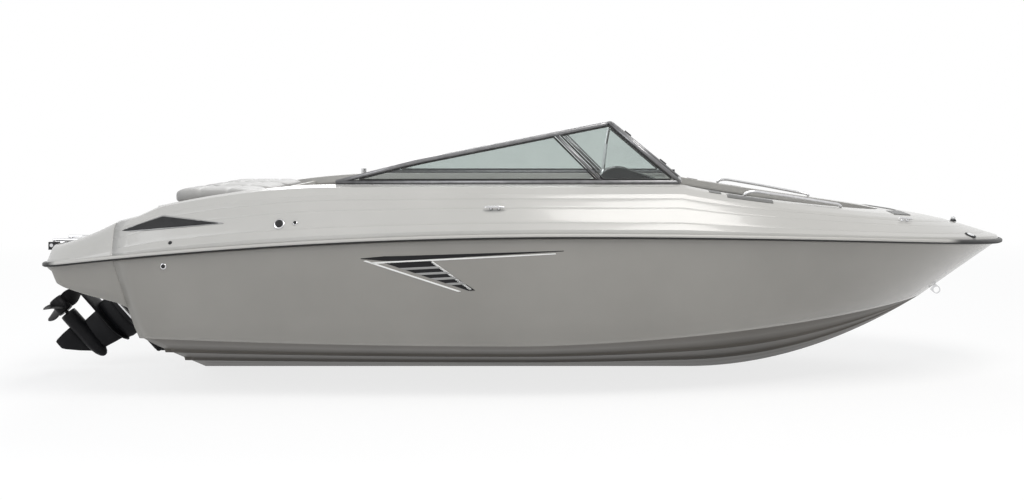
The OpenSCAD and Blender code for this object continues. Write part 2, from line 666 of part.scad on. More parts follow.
// The fuel filler and its vent on the starboard flank: how far forward, radius.
module deck_fittings() color([0.10, 0.10, 0.11]) mirror([0, 1, 0]) on_deck(3, 2, 0.35)
    for (f = [[0, 36], [105, 15]]) translate([f[0], 0, fit + 1]) cylinder(h = 14, r = f[1], $fn = 32);

/* Swim ladder */

ladder_y = -690;
ladder_half = 140;
ladder_hinge = [stern_x - 55, ladder_y, platform_z - 10];
hinge_r = 12;
ladder_l = 430;

module ladder_bracket() color([0.10, 0.10, 0.11])
    for (side = [-1, 1]) difference() {
        translate([ladder_hinge.x - 20, ladder_y + side * (ladder_half + 26) - 8, platform_z - 40])
            cube([stern_x - ladder_hinge.x + 20 - fit, 16, 52]);
        rod(ladder_hinge - [0, 2 * ladder_half, 0], ladder_hinge + [0, 2 * ladder_half, 0], hinge_r + fit);
    }

module swim_ladder() color([0.78, 0.78, 0.79]) {
    rod(ladder_hinge - [0, ladder_half + 34, 0], ladder_hinge + [0, ladder_half + 34, 0], hinge_r);
    for (side = [-1, 1]) let (y = side * (ladder_half - 12))
        tube([ladder_hinge + [0, y, 0], ladder_hinge + [0, y, 32], ladder_hinge + [ladder_l, y, 32]], 11);
    for (k = [1:3]) translate([ladder_hinge.x + k * ladder_l / 3 - 40, ladder_y - ladder_half + 20, platform_z + 14])
        cube([50, 2 * ladder_half - 40, 16]);
}

/* Stern drive */

pivot = [-257, 0, 370];
horn_half = 38;
ring_top = 135;

module gimbal_housing() color([0.10, 0.10, 0.11]) {
    translate([-pivot.z * tan(transom_rake), 0, pivot.z]) rotate([0, -transom_rake, 0])
        translate([-25 - fit, -165, -210]) cube([25, 330, 420]);
    for (side = [-1, 1]) rod([pivot.x, 0, pivot.z + side * (ring_top - 20)],
        [pivot.x, 0, pivot.z + side * (ring_top + 10)], steer_pin_r);
    for (z = [ring_top + 5, -ring_top - 45])
        translate([pivot.x - horn_half, -horn_half, pivot.z + z])
            cube([horn_half - pivot.x - 12 - (pivot.z + z + 40) * tan(transom_rake), 2 * horn_half, 40]);
}

arm_y = 135;
tilt_pin_r = 14;
steer_pin_r = 12;
arm_t = 25;
cylinder_y = arm_y + arm_t + 30;
barrel_pin = [-20, -200];
eye_pin = [-380, -150];

module gimbal_ring() color([0.10, 0.10, 0.11]) translate(pivot) {
    for (z = [-ring_top, ring_top - 25]) difference() {
        translate([-35, -arm_y - arm_t, z]) cube([60, 2 * (arm_y + arm_t), 25]);
        translate([0, 0, z - 5]) cylinder(h = 35, r = steer_pin_r + fit, $fn = 40);
    }
    for (y = [-arm_y - arm_t, arm_y]) translate([-35, y, -ring_top + overlap]) cube([60, arm_t, 2 * ring_top - 2 * overlap]);
    for (side = [-1, 1]) {
        translate([-45, side > 0 ? arm_y : -arm_y - arm_t, barrel_pin[1] - 25]) cube([55, arm_t, 110]);
        rod([0, side * (arm_y - 52), 0], [0, side * (arm_y + 5), 0], tilt_pin_r);
        rod([barrel_pin[0], side * (arm_y + 5), barrel_pin[1]],
            [barrel_pin[0], side * (cylinder_y + 14), barrel_pin[1]], 9);
    }
}

// The lower unit's outline: aft is negative.
leg_profile = [[-70, 20], [-150, 50], [-330, 45], [-400, -20], [-415, -190], [-430, -372],
    [-115, -372], [-85, -340], [-70, -200]];
skeg_profile = [[-170, 0], [-330, -190], [-430, -195], [-440, 0]];

module in_drive() translate(pivot) rotate([0, tilt_up, 0]) children();

module drive_leg() color([0.09, 0.09, 0.10]) in_drive() {
    across(-80, 80, leg_profile);
    across(-34, 34, [[-400, -372], [-400, -drive_drop], [-160, -drive_drop], [-115, -372]]);
    translate([-630, -120, -drive_drop + prop_d / 2 + 12]) cube([550, 240, 16]);
    translate([-530, 0, -drive_drop]) rotate([0, 90, 0]) cylinder(h = 330, r = 58, $fn = 48);
    translate([-200, 0, -drive_drop]) scale([1.6, 1, 1]) sphere(r = 58, $fn = 48);
    translate([0, 0, -drive_drop - 20]) across(-7, 7, skeg_profile);
    translate([-drive_reach - 60, 0, -drive_drop]) rotate([0, 90, 0]) cylinder(h = 140, r = shaft_r, $fn = 32);
    rod([eye_pin[0], -cylinder_y - 14, eye_pin[1]], [eye_pin[0], cylinder_y + 14, eye_pin[1]], 9);
}

// The drive's forward lugs, which the ring's pins carry.
module tilt_lugs() color([0.09, 0.09, 0.10]) in_drive() for (side = [-1, 1]) difference() {
    translate([-112, side > 0 ? 80 + fit : -105, -28]) cube([138, 25 - fit, 56]);
    rod([0, side * 70, 0], [0, side * 110, 0], tilt_pin_r + fit);
}

blades = 3;
hub_l = 120;
module propeller() color([0.12, 0.12, 0.13]) in_drive() translate([-drive_reach, 0, -drive_drop])
    rotate([0, -90, 0]) {
        difference() {
            translate([0, 0, -hub_l / 2 + 4]) cylinder(h = hub_l, r1 = 56, r2 = 50, $fn = 48);
            translate([0, 0, -hub_l]) cylinder(h = 2 * hub_l, r = shaft_r + fit, $fn = 32);
        }
        for (k = [0:blades - 1]) rotate(k * 360 / blades + 20)
            hull() {
                translate([46, 0, 0]) rotate([50, 0, 0]) translate([0, -50, -4]) cube([6, 100, 8]);
                translate([130, 0, 10]) rotate([32, 0, 0]) translate([0, -80, -3]) cube([8, 150, 6]);
                translate([prop_d / 2 - 10, 20, 15]) rotate([24, 0, 0]) translate([0, -40, -1.5]) cube([6, 60, 3]);
            }
    }

function tilted(p) = [p[0] * cos(tilt_up) + p[1] * sin(tilt_up),
    -p[0] * sin(tilt_up) + p[1] * cos(tilt_up)];
eye_up = tilted(eye_pin);
ram_length = norm(eye_up - barrel_pin);
ram_lean = atan2(eye_up[1] - barrel_pin[1], -(eye_up[0] - barrel_pin[0]));
barrel_l = 290;

// Places its children along the ram, from the barrel's pin to the rod's eye.
module along_ram() translate(pivot + [barrel_pin[0], 0, barrel_pin[1]])
    rotate([0, -90 + ram_lean, 0]) children();

module trim_barrels() color([0.10, 0.10, 0.11]) port_and_starboard() along_ram()
    translate([0, cylinder_y, 0]) difference() {
        union() {
            rotate([90, 0, 0]) translate([0, 0, -14]) cylinder(h = 28, r = 22, $fn = 40);
            translate([0, 0, 12]) cylinder(h = barrel_l - 12, r = 27, $fn = 48);
        }
        rotate([90, 0, 0]) translate([0, 0, -20]) cylinder(h = 40, r = 9 + fit, $fn = 40);
        translate([0, 0, 50]) cylinder(h = barrel_l, r = 11 + fit, $fn = 40);
    }

// The rod's eye is a slot, because the ram's stroke isn't quite in step with the tilt.
eye_drift = [13, 6];
module slot(r, width) hull() for (s = [0, 1])
    translate([s * eye_drift[0], 0, ram_length + s * eye_drift[1]]) rotate([90, 0, 0])
        translate([0, 0, -width / 2]) cylinder(h = width, r = r, $fn = 40);

module trim_rods() color([0.75, 0.75, 0.76]) port_and_starboard() along_ram()
    translate([0, cylinder_y, 0]) difference() {
        union() {
            translate([0, 0, barrel_l - 40]) cylinder(h = ram_length - barrel_l + 40 - 12, r = 11, $fn = 40);
            slot(19, 24);
        }
        slot(11, 40);
    }

at_waterline() hull_shell();
at_waterline() transom_board();
at_waterline() deck();
at_waterline() aft_deck();
at_waterline() swim_platform();
at_waterline() rub_rail();
at_waterline() cockpit_sides();
at_waterline() cockpit_sole();
at_waterline() bow_sole();
at_waterline() engine_bay();
at_waterline() engine();
at_waterline() windshield_frame();
at_waterline() side_glass();
at_waterline() front_glass();
at_waterline() windshield_braces();
at_waterline() windshield_door();
at_waterline() windshield_door_glass();
at_waterline() helm_console();
at_waterline() passenger_console();
at_waterline() steering_wheel();
at_waterline() throttle_control();
at_waterline() seat_pedestals();
at_waterline() helm_seat();
at_waterline() passenger_seat();
at_waterline() bench_base();
at_waterline() rear_bench();
at_waterline() engine_hatch();
at_waterline() sun_pad();
at_waterline() bow_seat_bases();
at_waterline() bow_cushions();
at_waterline() bow_bolsters();
at_waterline() bow_rails();
at_waterline() cleats();
at_waterline() nav_lights();
at_waterline() stern_light_socket();
at_waterline() bow_eye();
at_waterline() transom_eyes();
at_waterline() deck_fittings();
at_waterline() ladder_bracket();
at_waterline() swim_ladder();
at_waterline() gimbal_housing();
at_waterline() gimbal_ring();
at_waterline() drive_leg();
at_waterline() tilt_lugs();
at_waterline() propeller();
at_waterline() trim_barrels();
at_waterline() trim_rods();
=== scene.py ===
# %% [markdown]
# # A bowrider speedboat with its stern drive tilted up
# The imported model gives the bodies, the joints and the plain solids. This lesson adds the
# fine surfaces and finishes on top of them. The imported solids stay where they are, and a
# finer mesh stands in for each one whose shape is too plain.

# %% Load the frame
import math

import bpy
import numpy as np
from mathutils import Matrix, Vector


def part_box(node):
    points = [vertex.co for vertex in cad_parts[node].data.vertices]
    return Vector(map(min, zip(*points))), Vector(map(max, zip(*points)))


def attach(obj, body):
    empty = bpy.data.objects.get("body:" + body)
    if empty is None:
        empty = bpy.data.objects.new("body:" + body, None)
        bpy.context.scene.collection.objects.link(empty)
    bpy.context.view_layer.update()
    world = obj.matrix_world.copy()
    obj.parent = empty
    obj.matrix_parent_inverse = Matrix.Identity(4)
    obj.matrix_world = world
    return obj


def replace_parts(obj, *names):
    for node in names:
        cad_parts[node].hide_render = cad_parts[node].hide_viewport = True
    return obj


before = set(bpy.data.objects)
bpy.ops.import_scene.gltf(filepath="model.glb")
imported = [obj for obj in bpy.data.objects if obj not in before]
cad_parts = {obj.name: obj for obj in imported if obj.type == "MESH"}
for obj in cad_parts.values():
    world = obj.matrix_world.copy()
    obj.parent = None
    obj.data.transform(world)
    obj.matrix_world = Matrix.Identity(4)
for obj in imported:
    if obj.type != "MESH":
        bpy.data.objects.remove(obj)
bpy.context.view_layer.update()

# %% [markdown]
# The boat is drawn from its keel line: x runs forward from the foot of the transom and z up
# from the keel. The row frame has its origin at the waterline under the balance point, so
# every mesh is moved once, by the same offset, as it is made.

# %% Offset and small helpers
KEEL_TO_ROW = np.array([-2.3, 0.0, -0.43])
lerp = lambda a, b, t: a + (b - a) * t


def unit(v):
    """Vectors divided by their lengths, along the last axis."""
    return v / np.maximum(np.linalg.norm(v, axis=-1, keepdims=True), 1e-12)


def mesh_object(name, points, faces, body="hull", material=None, uv=None, smooth=True):
    """Mesh from points and faces, moved from the keel frame to the row frame."""
    me = bpy.data.meshes.new(name)
    me.from_pydata((np.asarray(points, float) + KEEL_TO_ROW).tolist(), [], np.asarray(faces).tolist()
                   if isinstance(faces, np.ndarray) else faces)
    me.validate()
    me.update()
    if smooth:
        me.shade_smooth()
    ob = bpy.data.objects.new(name, me)
    bpy.context.scene.collection.objects.link(ob)
    if uv is not None:
        loops = np.zeros(len(me.loops), np.int32)
        me.loops.foreach_get("vertex_index", loops)
        me.uv_layers.new(name="UVMap").data.foreach_set("uv", np.asarray(uv, np.float32)[loops].ravel())
    if material:
        me.materials.append(material)
    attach(ob, body)
    return ob


def grid_faces(rows, cols, wrap_rows=False, wrap_cols=False, flip=False, shift=0):
    """Quads of a rows by cols grid: corners (i, j), (i+1, j), (i+1, j+1), (i, j+1)."""
    i, j = np.meshgrid(np.arange(rows - (not wrap_rows)), np.arange(cols - (not wrap_cols)), indexing="ij")
    i2, j2 = (i + 1) % rows, (j + 1) % cols
    q = np.stack([i * cols + j, i2 * cols + j, i2 * cols + j2, i * cols + j2], -1).reshape(-1, 4) + shift
    return q[:, ::-1] if flip else q


def outward(ob):
    """Merges doubles and turns the faces outward."""
    import bmesh
    bm = bmesh.new()
    bm.from_mesh(ob.data)
    bmesh.ops.remove_doubles(bm, verts=bm.verts, dist=1e-5)
    bmesh.ops.recalc_face_normals(bm, faces=bm.faces)
    bm.to_mesh(ob.data)
    bm.free()
    return ob


def grid_object(name, P, body="hull", material=None, wrap_rows=False, wrap_cols=False, flip=False, caps=False):
    """A surface P[i, j] as a mesh; caps closes the two open ends of a tube-like grid."""
    r, c = P.shape[:2]
    u = np.repeat(np.linspace(0, 1, r), c)
    v = np.tile(np.linspace(0, 1, c), r)
    faces = grid_faces(r, c, wrap_rows, wrap_cols, flip).tolist()
    if caps:
        faces += [list(range(c))[::-1], [(r - 1) * c + k for k in range(c)]]
    ob = mesh_object(name, P.reshape(-1, 3), faces, body, material, np.stack([u, v], 1))
    return outward(ob) if caps or wrap_rows else ob


def join(name, objects):
    """Several pieces of one body as one object; the first keeps its place and materials."""
    with bpy.context.temp_override(active_object=objects[0], selected_editable_objects=objects,
                                   object=objects[0], selected_objects=objects):
        bpy.ops.object.join()
    objects[0].name = name
    objects[0].data.name = name
    return objects[0]


def finish_edges(ob, bevel=None, subdivide=0, solid=None, segments=2):
    """Solidify, Bevel and Subdivision Surface, in that order, for the ones asked for."""
    if solid:
        m = ob.modifiers.new("wall", "SOLIDIFY")
        m.thickness, m.offset = solid, -1
    if bevel:
        m = ob.modifiers.new("edge", "BEVEL")
        m.width, m.segments, m.limit_method = bevel, segments, "ANGLE"
        m.harden_normals = True
    if subdivide:
        m = ob.modifiers.new("smooth", "SUBSURF")
        m.levels = m.render_levels = subdivide
    return ob


print("offset", KEEL_TO_ROW)

# %% [markdown]
# Rails, hoses and rub strips are one profile carried along a path. At each point the path's
# direction gives a frame of two cross directions, and the profile is laid into it. Corners
# are rounded first by replacing each sharp point with a short arc.


# %% Profiles carried along paths
def rounded_path(points, radius, n=6):
    """Each inner corner p becomes a quadratic arc from p + a*r to p + b*r, with a and b the
    directions to its neighbours: (1-t)^2 (p+ar) + 2t(1-t) p + t^2 (p+br)."""
    pts = [np.asarray(p, float) for p in points]
    out = [pts[0]]
    t = np.linspace(0, 1, n)[:, None]
    for a, p, b in zip(pts[:-2], pts[1:-1], pts[2:]):
        ra = min(radius, np.linalg.norm(a - p) * 0.45)
        rb = min(radius, np.linalg.norm(b - p) * 0.45)
        s, e = p + unit(a - p) * ra, p + unit(b - p) * rb
        out.extend(((1 - t) ** 2 * s + 2 * t * (1 - t) * p + t ** 2 * e))
    return np.array(out + [pts[-1]])


def sweep(name, path, profile, up=(0, 0, 1), closed=False, body="hull", material=None):
    """Grid of path[i] + profile[j, 0] * side[i] + profile[j, 1] * top[i]; side is the path's
    direction crossed with up, and top completes the frame."""
    path = np.asarray(path, float)
    d = np.roll(path, -1, 0) - np.roll(path, 1, 0) if closed else np.gradient(path, axis=0)
    d = unit(d)
    side = unit(np.cross(d, np.broadcast_to(np.asarray(up, float), d.shape)))
    top = np.cross(side, d)
    profile = np.asarray(profile, float)
    P = path[:, None] + profile[None, :, :1] * side[:, None] + profile[None, :, 1:2] * top[:, None]
    ob = grid_object(name, P, body, material, wrap_rows=closed, wrap_cols=True, caps=not closed)
    return ob


def ring(r, n=14):
    """Points of a circle of radius r."""
    a = np.arange(n) * 2 * math.pi / n
    return np.stack([r * np.cos(a), r * np.sin(a)], 1)


def tube(name, points, r, corner=0.03, up=(0, 0, 1), body="hull", material=None, n=14):
    """A round rail through points with rounded corners."""
    return sweep(name, rounded_path(points, corner), ring(r, n), up, body=body, material=material)


def lathe(name, profile, origin, axis, body="hull", material=None, n=40):
    """A profile of (radius, height) pairs turned about axis through origin."""
    axis = unit(np.asarray(axis, float))
    help_v = np.array([0, 0, 1.0]) if abs(axis[2]) < 0.9 else np.array([1.0, 0, 0])
    u = unit(np.cross(help_v, axis))
    v = np.cross(axis, u)
    a = np.arange(n) * 2 * math.pi / n
    circle = np.cos(a)[:, None] * u + np.sin(a)[:, None] * v
    pr = np.asarray(profile, float)
    P = np.asarray(origin, float) + pr[:, None, :1] * circle[None] + pr[:, None, 1:2] * axis
    return grid_object(name, P, body, material, wrap_cols=True, caps=True)


def slab(name, outline, y0, y1, body="hull", material=None, bevel=0.004):
    """A flat outline in x and z, carried from y0 to y1, with bevelled edges."""
    o = np.asarray(outline, float)
    n = len(o)
    P = np.concatenate([np.c_[o[:, 0], np.full(n, y0), o[:, 1]], np.c_[o[:, 0], np.full(n, y1), o[:, 1]]])
    faces = [list(range(n)), list(range(n, 2 * n))[::-1]]
    faces += [[k, n + k, n + (k + 1) % n, (k + 1) % n] for k in range(n)]
    ob = outward(mesh_object(name, P, faces, body, material, smooth=False))
    return finish_edges(ob, bevel=bevel)


def box_piece(name, lo, hi, body="hull", material=None, bevel=0.004):
    """A block from corner lo to corner hi with bevelled edges."""
    return slab(name, [(lo[0], lo[2]), (hi[0], lo[2]), (hi[0], hi[2]), (lo[0], hi[2])], lo[1], hi[1],
                body, material, bevel)


print("helpers for tubes, lathes and slabs ready")

# %% [markdown]
# The pictures are taken from low on the starboard side, with a plain pale floor under the
# keel. The camera's lens axis is level and square to the boat, and a small shift frames it.
# A camera tilted instead would bend the boat's long lines.

# %% Camera
cam_data = bpy.data.cameras.new("camera")
cam_data.sensor_width = 36
cam_data.lens = 44.33
cam_data.shift_x, cam_data.shift_y = -0.0762, -0.125
cam = bpy.data.objects.new("camera", cam_data)
cam.location = np.array([2.834, -9.3, 1.80]) + KEEL_TO_ROW
cam.rotation_euler = (math.pi / 2, 0, 0)
bpy.context.scene.collection.objects.link(cam)
bpy.context.scene.camera = cam
print("camera at", tuple(round(c, 3) for c in cam.location))


# %% [markdown]
# Finishes are node materials. One helper starts a material and returns its shader, and a
# second one lays soft noise over a colour, because even a clean moulding is never one flat
# colour.


# %% Material helpers
class Finish:
    """A material with its Principled shader, and short calls to add nodes."""

    def __init__(self, name, **sockets):
        self.mat = bpy.data.materials.new(name)
        self.mat.use_nodes = True
        self.tree = self.mat.node_tree
        self.shader = self.tree.nodes["Principled BSDF"]
        self.where = self.node("ShaderNodeTexCoord").outputs["Object"]
        for key, value in sockets.items():
            self.shader.inputs[key.replace("_", " ")].default_value = value

    def node(self, kind, **props):
        n = self.tree.nodes.new(kind)
        for k, v in props.items():
            setattr(n, k, v)
        return n

    def link(self, a, b):
        self.tree.links.new(a, b)

    def noise(self, scale, detail=4, stretch=(1, 1, 1)):
        """Noise on Object coordinates, stretched by axis."""
        m = self.node("ShaderNodeMapping")
        m.inputs["Scale"].default_value = stretch
        self.link(self.where, m.inputs["Vector"])
        n = self.node("ShaderNodeTexNoise")
        n.inputs["Scale"].default_value = scale
        n.inputs["Detail"].default_value = detail
        self.link(m.outputs[0], n.inputs["Vector"])
        return n.outputs["Fac"]

    def ramp(self, fac, stops):
        """A colour ramp of (position, colour) stops on fac."""
        r = self.node("ShaderNodeValToRGB")
        while len(r.color_ramp.elements) < len(stops):
            r.color_ramp.elements.new(0.5)
        for e, (p, c) in zip(r.color_ramp.elements, stops):
            e.position, e.color = p, (*c, 1)
        self.link(fac, r.inputs["Fac"])
        return r.outputs["Color"]

    def math(self, op, a, b=0.0):
        n = self.node("ShaderNodeMath", operation=op)
        for k, v in enumerate((a, b)):
            if isinstance(v, (int, float)):
                n.inputs[k].default_value = v
            else:
                self.link(v, n.inputs[k])
        return n.outputs[0]

    def colour(self, out):
        self.link(out, self.shader.inputs["Base Color"])
        return self

    def bump(self, height, strength=0.3, distance=0.002):
        b = self.node("ShaderNodeBump")
        b.inputs["Strength"].default_value = strength
        b.inputs["Distance"].default_value = distance
        self.link(height, b.inputs["Height"])
        self.link(b.outputs[0], self.shader.inputs["Normal"])
        return self


def mottled(name, dark, light, scale=3.0, roughness=0.3, bump_scale=0, strength=0.1, **sockets):
    """A finish whose colour drifts between dark and light with large soft noise."""
    f = Finish(name, Roughness=roughness, **sockets)
    f.colour(f.ramp(f.noise(scale), [(0.3, dark), (0.7, light)]))
    if bump_scale:
        f.bump(f.noise(bump_scale, 6), strength)
    return f


print("material helpers ready")

# %% [markdown]
# Gelcoat is a thick clear-looking resin skin: low roughness under a clear coat. The hull is the
# deck's white gelcoat drawn in a darker, warmer grey, which is painted shade for its upright
# sides. The bottom of the hull, under the chine, is a dull darker brown-grey. Vinyl has a fine
# leather grain, and the sole carries a ribbed mat.

# %% Finishes
gel_white = mottled("gelcoat_deck", (0.42, 0.414, 0.395), (0.47, 0.463, 0.443), 1.2, 0.24, 900, 0.02,
                    Coat_Weight=0.3, Coat_Roughness=0.08)
# painted shade: the hull's white gelcoat is darkened for the shade on its upright sides
gel_hull_shaded = mottled("gelcoat_hull", (0.235, 0.226, 0.206), (0.275, 0.265, 0.243), 1.0, 0.22, 900, 0.02,
                   Coat_Weight=0.4, Coat_Roughness=0.06)
gel_liner = mottled("gelcoat_liner", (0.56, 0.55, 0.52), (0.62, 0.61, 0.58), 1.5, 0.35, 700, 0.04)
bottom_paint = mottled("hull_bottom", (0.060, 0.052, 0.041), (0.085, 0.075, 0.061), 2.0, 0.45, 500, 0.05)
black_rubber = mottled("rub_rail_rubber", (0.018, 0.018, 0.018), (0.03, 0.03, 0.03), 20, 0.5, 600, 0.1,
                       Specular_IOR_Level=0.2)
black_plastic = mottled("black_plastic", (0.02, 0.02, 0.021), (0.03, 0.03, 0.031), 12, 0.42, 900, 0.08,
                        Specular_IOR_Level=0.15)
drive_paint = mottled("drive_paint", (0.006, 0.006, 0.007), (0.012, 0.012, 0.013), 6, 0.42, 500, 0.06,
                      Specular_IOR_Level=0.12)
steel = mottled("stainless", (0.60, 0.60, 0.61), (0.70, 0.70, 0.71), 30, 0.16, 0, 0, Metallic=1.0)
dark_frame = mottled("frame_anodised", (0.17, 0.17, 0.175), (0.24, 0.24, 0.245), 25, 0.32, 0, 0, Metallic=0.8)
gasket = mottled("gasket_black", (0.015, 0.015, 0.015), (0.025, 0.025, 0.025), 40, 0.6, 800, 0.1)
stripe_black = mottled("stripe_black", (0.012, 0.012, 0.013), (0.018, 0.018, 0.019), 5, 0.35, 0, 0,
                       Specular_IOR_Level=0.15)
stripe_white = mottled("stripe_white", (0.78, 0.78, 0.76), (0.84, 0.84, 0.82), 5, 0.22, 0, 0, Coat_Weight=0.6)
stripe_grey = mottled("stripe_grey", (0.24, 0.24, 0.235), (0.30, 0.30, 0.295), 5, 0.25, 0, 0, Coat_Weight=0.6)
lens_clear = mottled("lamp_lens", (0.55, 0.56, 0.57), (0.72, 0.73, 0.74), 60, 0.12, 0, 0, Coat_Weight=0.8)
engine_grey = mottled("engine_cast", (0.03, 0.03, 0.032), (0.06, 0.06, 0.062), 8, 0.5, 300, 0.2)


def vinyl(name, dark, light):
    """Marine vinyl: soft colour drift, cell-like leather grain as bump, and a slight sheen."""
    f = Finish(name, Roughness=0.52, Sheen_Weight=0.15, Sheen_Roughness=0.4)
    f.colour(f.ramp(f.noise(5), [(0.3, dark), (0.7, light)]))
    v = f.node("ShaderNodeTexVoronoi", feature="DISTANCE_TO_EDGE")
    v.inputs["Scale"].default_value = 420
    f.link(f.where, v.inputs["Vector"])
    return f.bump(f.math("ADD", v.outputs["Distance"], f.math("MULTIPLY", f.noise(1200, 3), 0.3)), 0.25, 0.0006)


vinyl_grey = vinyl("vinyl_grey", (0.30, 0.295, 0.285), (0.36, 0.355, 0.345))
vinyl_dark = vinyl("vinyl_dark", (0.115, 0.115, 0.112), (0.15, 0.15, 0.147))
vinyl_pale = vinyl("vinyl_pale", (0.50, 0.49, 0.465), (0.57, 0.56, 0.535))

mat_sole = Finish("ribbed_mat", Roughness=0.85)
ribs = mat_sole.node("ShaderNodeTexWave", wave_type="BANDS", bands_direction="Y")
ribs.inputs["Scale"].default_value = 40
mat_sole.link(mat_sole.where, ribs.inputs["Vector"])
mat_sole.colour(mat_sole.ramp(mat_sole.noise(60), [(0.3, (0.20, 0.19, 0.17)), (0.7, (0.28, 0.265, 0.24))]))
mat_sole.bump(ribs.outputs["Fac"], 0.5, 0.002)

glass = Finish("tinted_glass", Roughness=0.03, IOR=1.45, Transmission_Weight=1.0)
glass.colour(glass.ramp(glass.noise(0.8), [(0.3, (0.64, 0.69, 0.675)), (0.7, (0.69, 0.735, 0.72))]))
print(len(bpy.data.materials), "finishes")

# %% [markdown]
# The hull is worked out from four curves along its length: the keel, the chine, the rub rail
# and their half breadths. A section at each station joins them: topsides bulge from chine to
# rail and the bottom runs nearly straight from chine to keel, with two lifting strakes.


# %% Curves of the hull
BOW_X, HALF_BEAM, HALF_CHINE = 5.836, 1.27, 1.13
SHEER_H, CHINE_H, FOREFOOT_X, RAKE = 1.077, 0.345, 3.55, math.tan(math.radians(14))
STERN_X, PLATFORM_Z, CREST_H = -0.715, 0.985, 1.385
BOW_Z = SHEER_H - 0.137
CHINE_END_Z = CHINE_H + 0.190
CHINE_END_X = FOREFOOT_X + (BOW_X - FOREFOOT_X) * math.sqrt(CHINE_END_Z / BOW_Z)


def taper(t, full, off):
    """One at t = 0, falling to nothing at t = 1: (1 - t^full)^off."""
    return np.maximum(0, 1 - np.maximum(0, t) ** full) ** off


def keel_z(x):
    """Flat, then a parabola up to the bow."""
    return BOW_Z * (np.maximum(0, x - FOREFOOT_X) / (BOW_X - FOREFOOT_X)) ** 2


def sheer_z(x):
    """Rub rail height: two parabolas that meet at the highest point."""
    return np.where(x < 2.7, SHEER_H - 0.2 * ((2.7 - x) / (2.7 - STERN_X)) ** 2,
                    SHEER_H - 0.137 * ((x - 2.7) / (BOW_X - 2.7)) ** 2)


def sheer_y(x):
    """Rub rail half breadth: slow parabola aft, and a full round bow."""
    return np.where(x < 2.4, HALF_BEAM - 0.05 * ((2.4 - x) / 2.4) ** 2,
                    HALF_BEAM * taper((x - 2.4) / (BOW_X - 2.4), 2.4, 0.6))


def chine_z(x):
    """Chine height, lowest at x = 2.4."""
    return np.where(x < 2.4, CHINE_H + 0.045 * (np.maximum(0, 2.4 - x) / 2.4) ** 2,
                    CHINE_H + 0.190 * (np.maximum(0, x - 2.4) / (CHINE_END_X - 2.4)) ** 1.5)


def chine_y(x):
    """Chine half breadth."""
    return np.where(x < 2.2, HALF_CHINE - 0.03 * ((2.2 - x) / 2.2) ** 2,
                    HALF_CHINE * taper((x - 2.2) / (CHINE_END_X - 2.2), 2.4, 0.8))


def crest_z(x):
    """Coaming height: rises from the platform, level amidships, falls to the bow."""
    x = np.asarray(x, float)
    aft = lerp(PLATFORM_Z, CREST_H - 0.135, np.maximum(0, 1 + x / 0.715) ** 1.3)
    mid = CREST_H - 0.135 * np.maximum(0, 1 - x / 1.13) ** 1.8
    fore = CREST_H - 0.32 * (np.maximum(0, x - 3.45) / (BOW_X - 3.45)) ** 0.8
    return np.where(x < 0, aft, np.where(x < 3.45, mid, fore))


def opening_y(x):
    """Half breadth of the cockpit opening."""
    return 0.88 * taper((np.asarray(x, float) - 3.3) / 1.65, 2.2, 0.6)


TRANSOM_TOP_X = -float(sheer_z(-0.24)) * RAKE
print("transom top at x =", round(TRANSOM_TOP_X, 3), "chine ends at x =", round(CHINE_END_X, 3))

# %% [markdown]
# Stations crowd towards the bow, where the curves turn fastest. Each section lists the
# topsides from the rail down to the chine, then the bottom in to the keel, and port mirrors
# starboard. The strakes are small wedges in the bottom's straight run.


# %% Hull surface
def hull_side(s, r):
    """Topside point: s along, r from 0 at the chine to 1 at the rail. The breadth follows a
    bulge curve that blends from the full midship one to the hollow bow one by s^6."""
    cx = lerp(-float(chine_z(0.0)) * RAKE, CHINE_END_X, s)
    rx = lerp(TRANSOM_TOP_X, BOW_X - 0.002, s)
    bow = s ** 6
    mid = np.interp(r, [0, 0.15, 0.4, 0.72, 1], [0, 0.32, 0.6, 0.86, 1])
    end = np.interp(r, [0, 0.15, 0.4, 0.72, 1], [0, 0.1, 0.3, 0.62, 1])
    share = lerp(mid, end, bow)
    y = lerp(np.maximum(chine_y(cx), 0.003), np.maximum(sheer_y(rx), 0.003), share)
    return np.stack([lerp(cx, rx, r), y, lerp(chine_z(cx), sheer_z(rx), r)], -1)


def side_at(x, z):
    """The topside point at a given x and z, found by a few rounds of substitution."""
    x, z = np.broadcast_arrays(np.asarray(x, float), np.asarray(z, float))
    s = np.linspace(0, 1, 400)
    r = np.full(x.shape, 0.5)
    for _ in range(12):
        rr = np.clip(r, 0, 1)
        cx = -float(chine_z(0.0)) * RAKE + (CHINE_END_X + float(chine_z(0.0)) * RAKE) * s
        rx = lerp(TRANSOM_TOP_X, BOW_X - 0.002, s)
        sv = np.interp(x, lerp(TRANSOM_TOP_X, BOW_X, s), s)
        for _ in range(8):
            here = lerp(np.interp(sv, s, cx), np.interp(sv, s, rx), rr)
            sv = np.clip(sv + (x - here) / 6.0, 0, 1)
        zc = chine_z(np.interp(sv, s, cx))
        zr = sheer_z(np.interp(sv, s, rx))
        r = (z - zc) / (zr - zc)
    return hull_side(sv, np.clip(r, 0, 1))


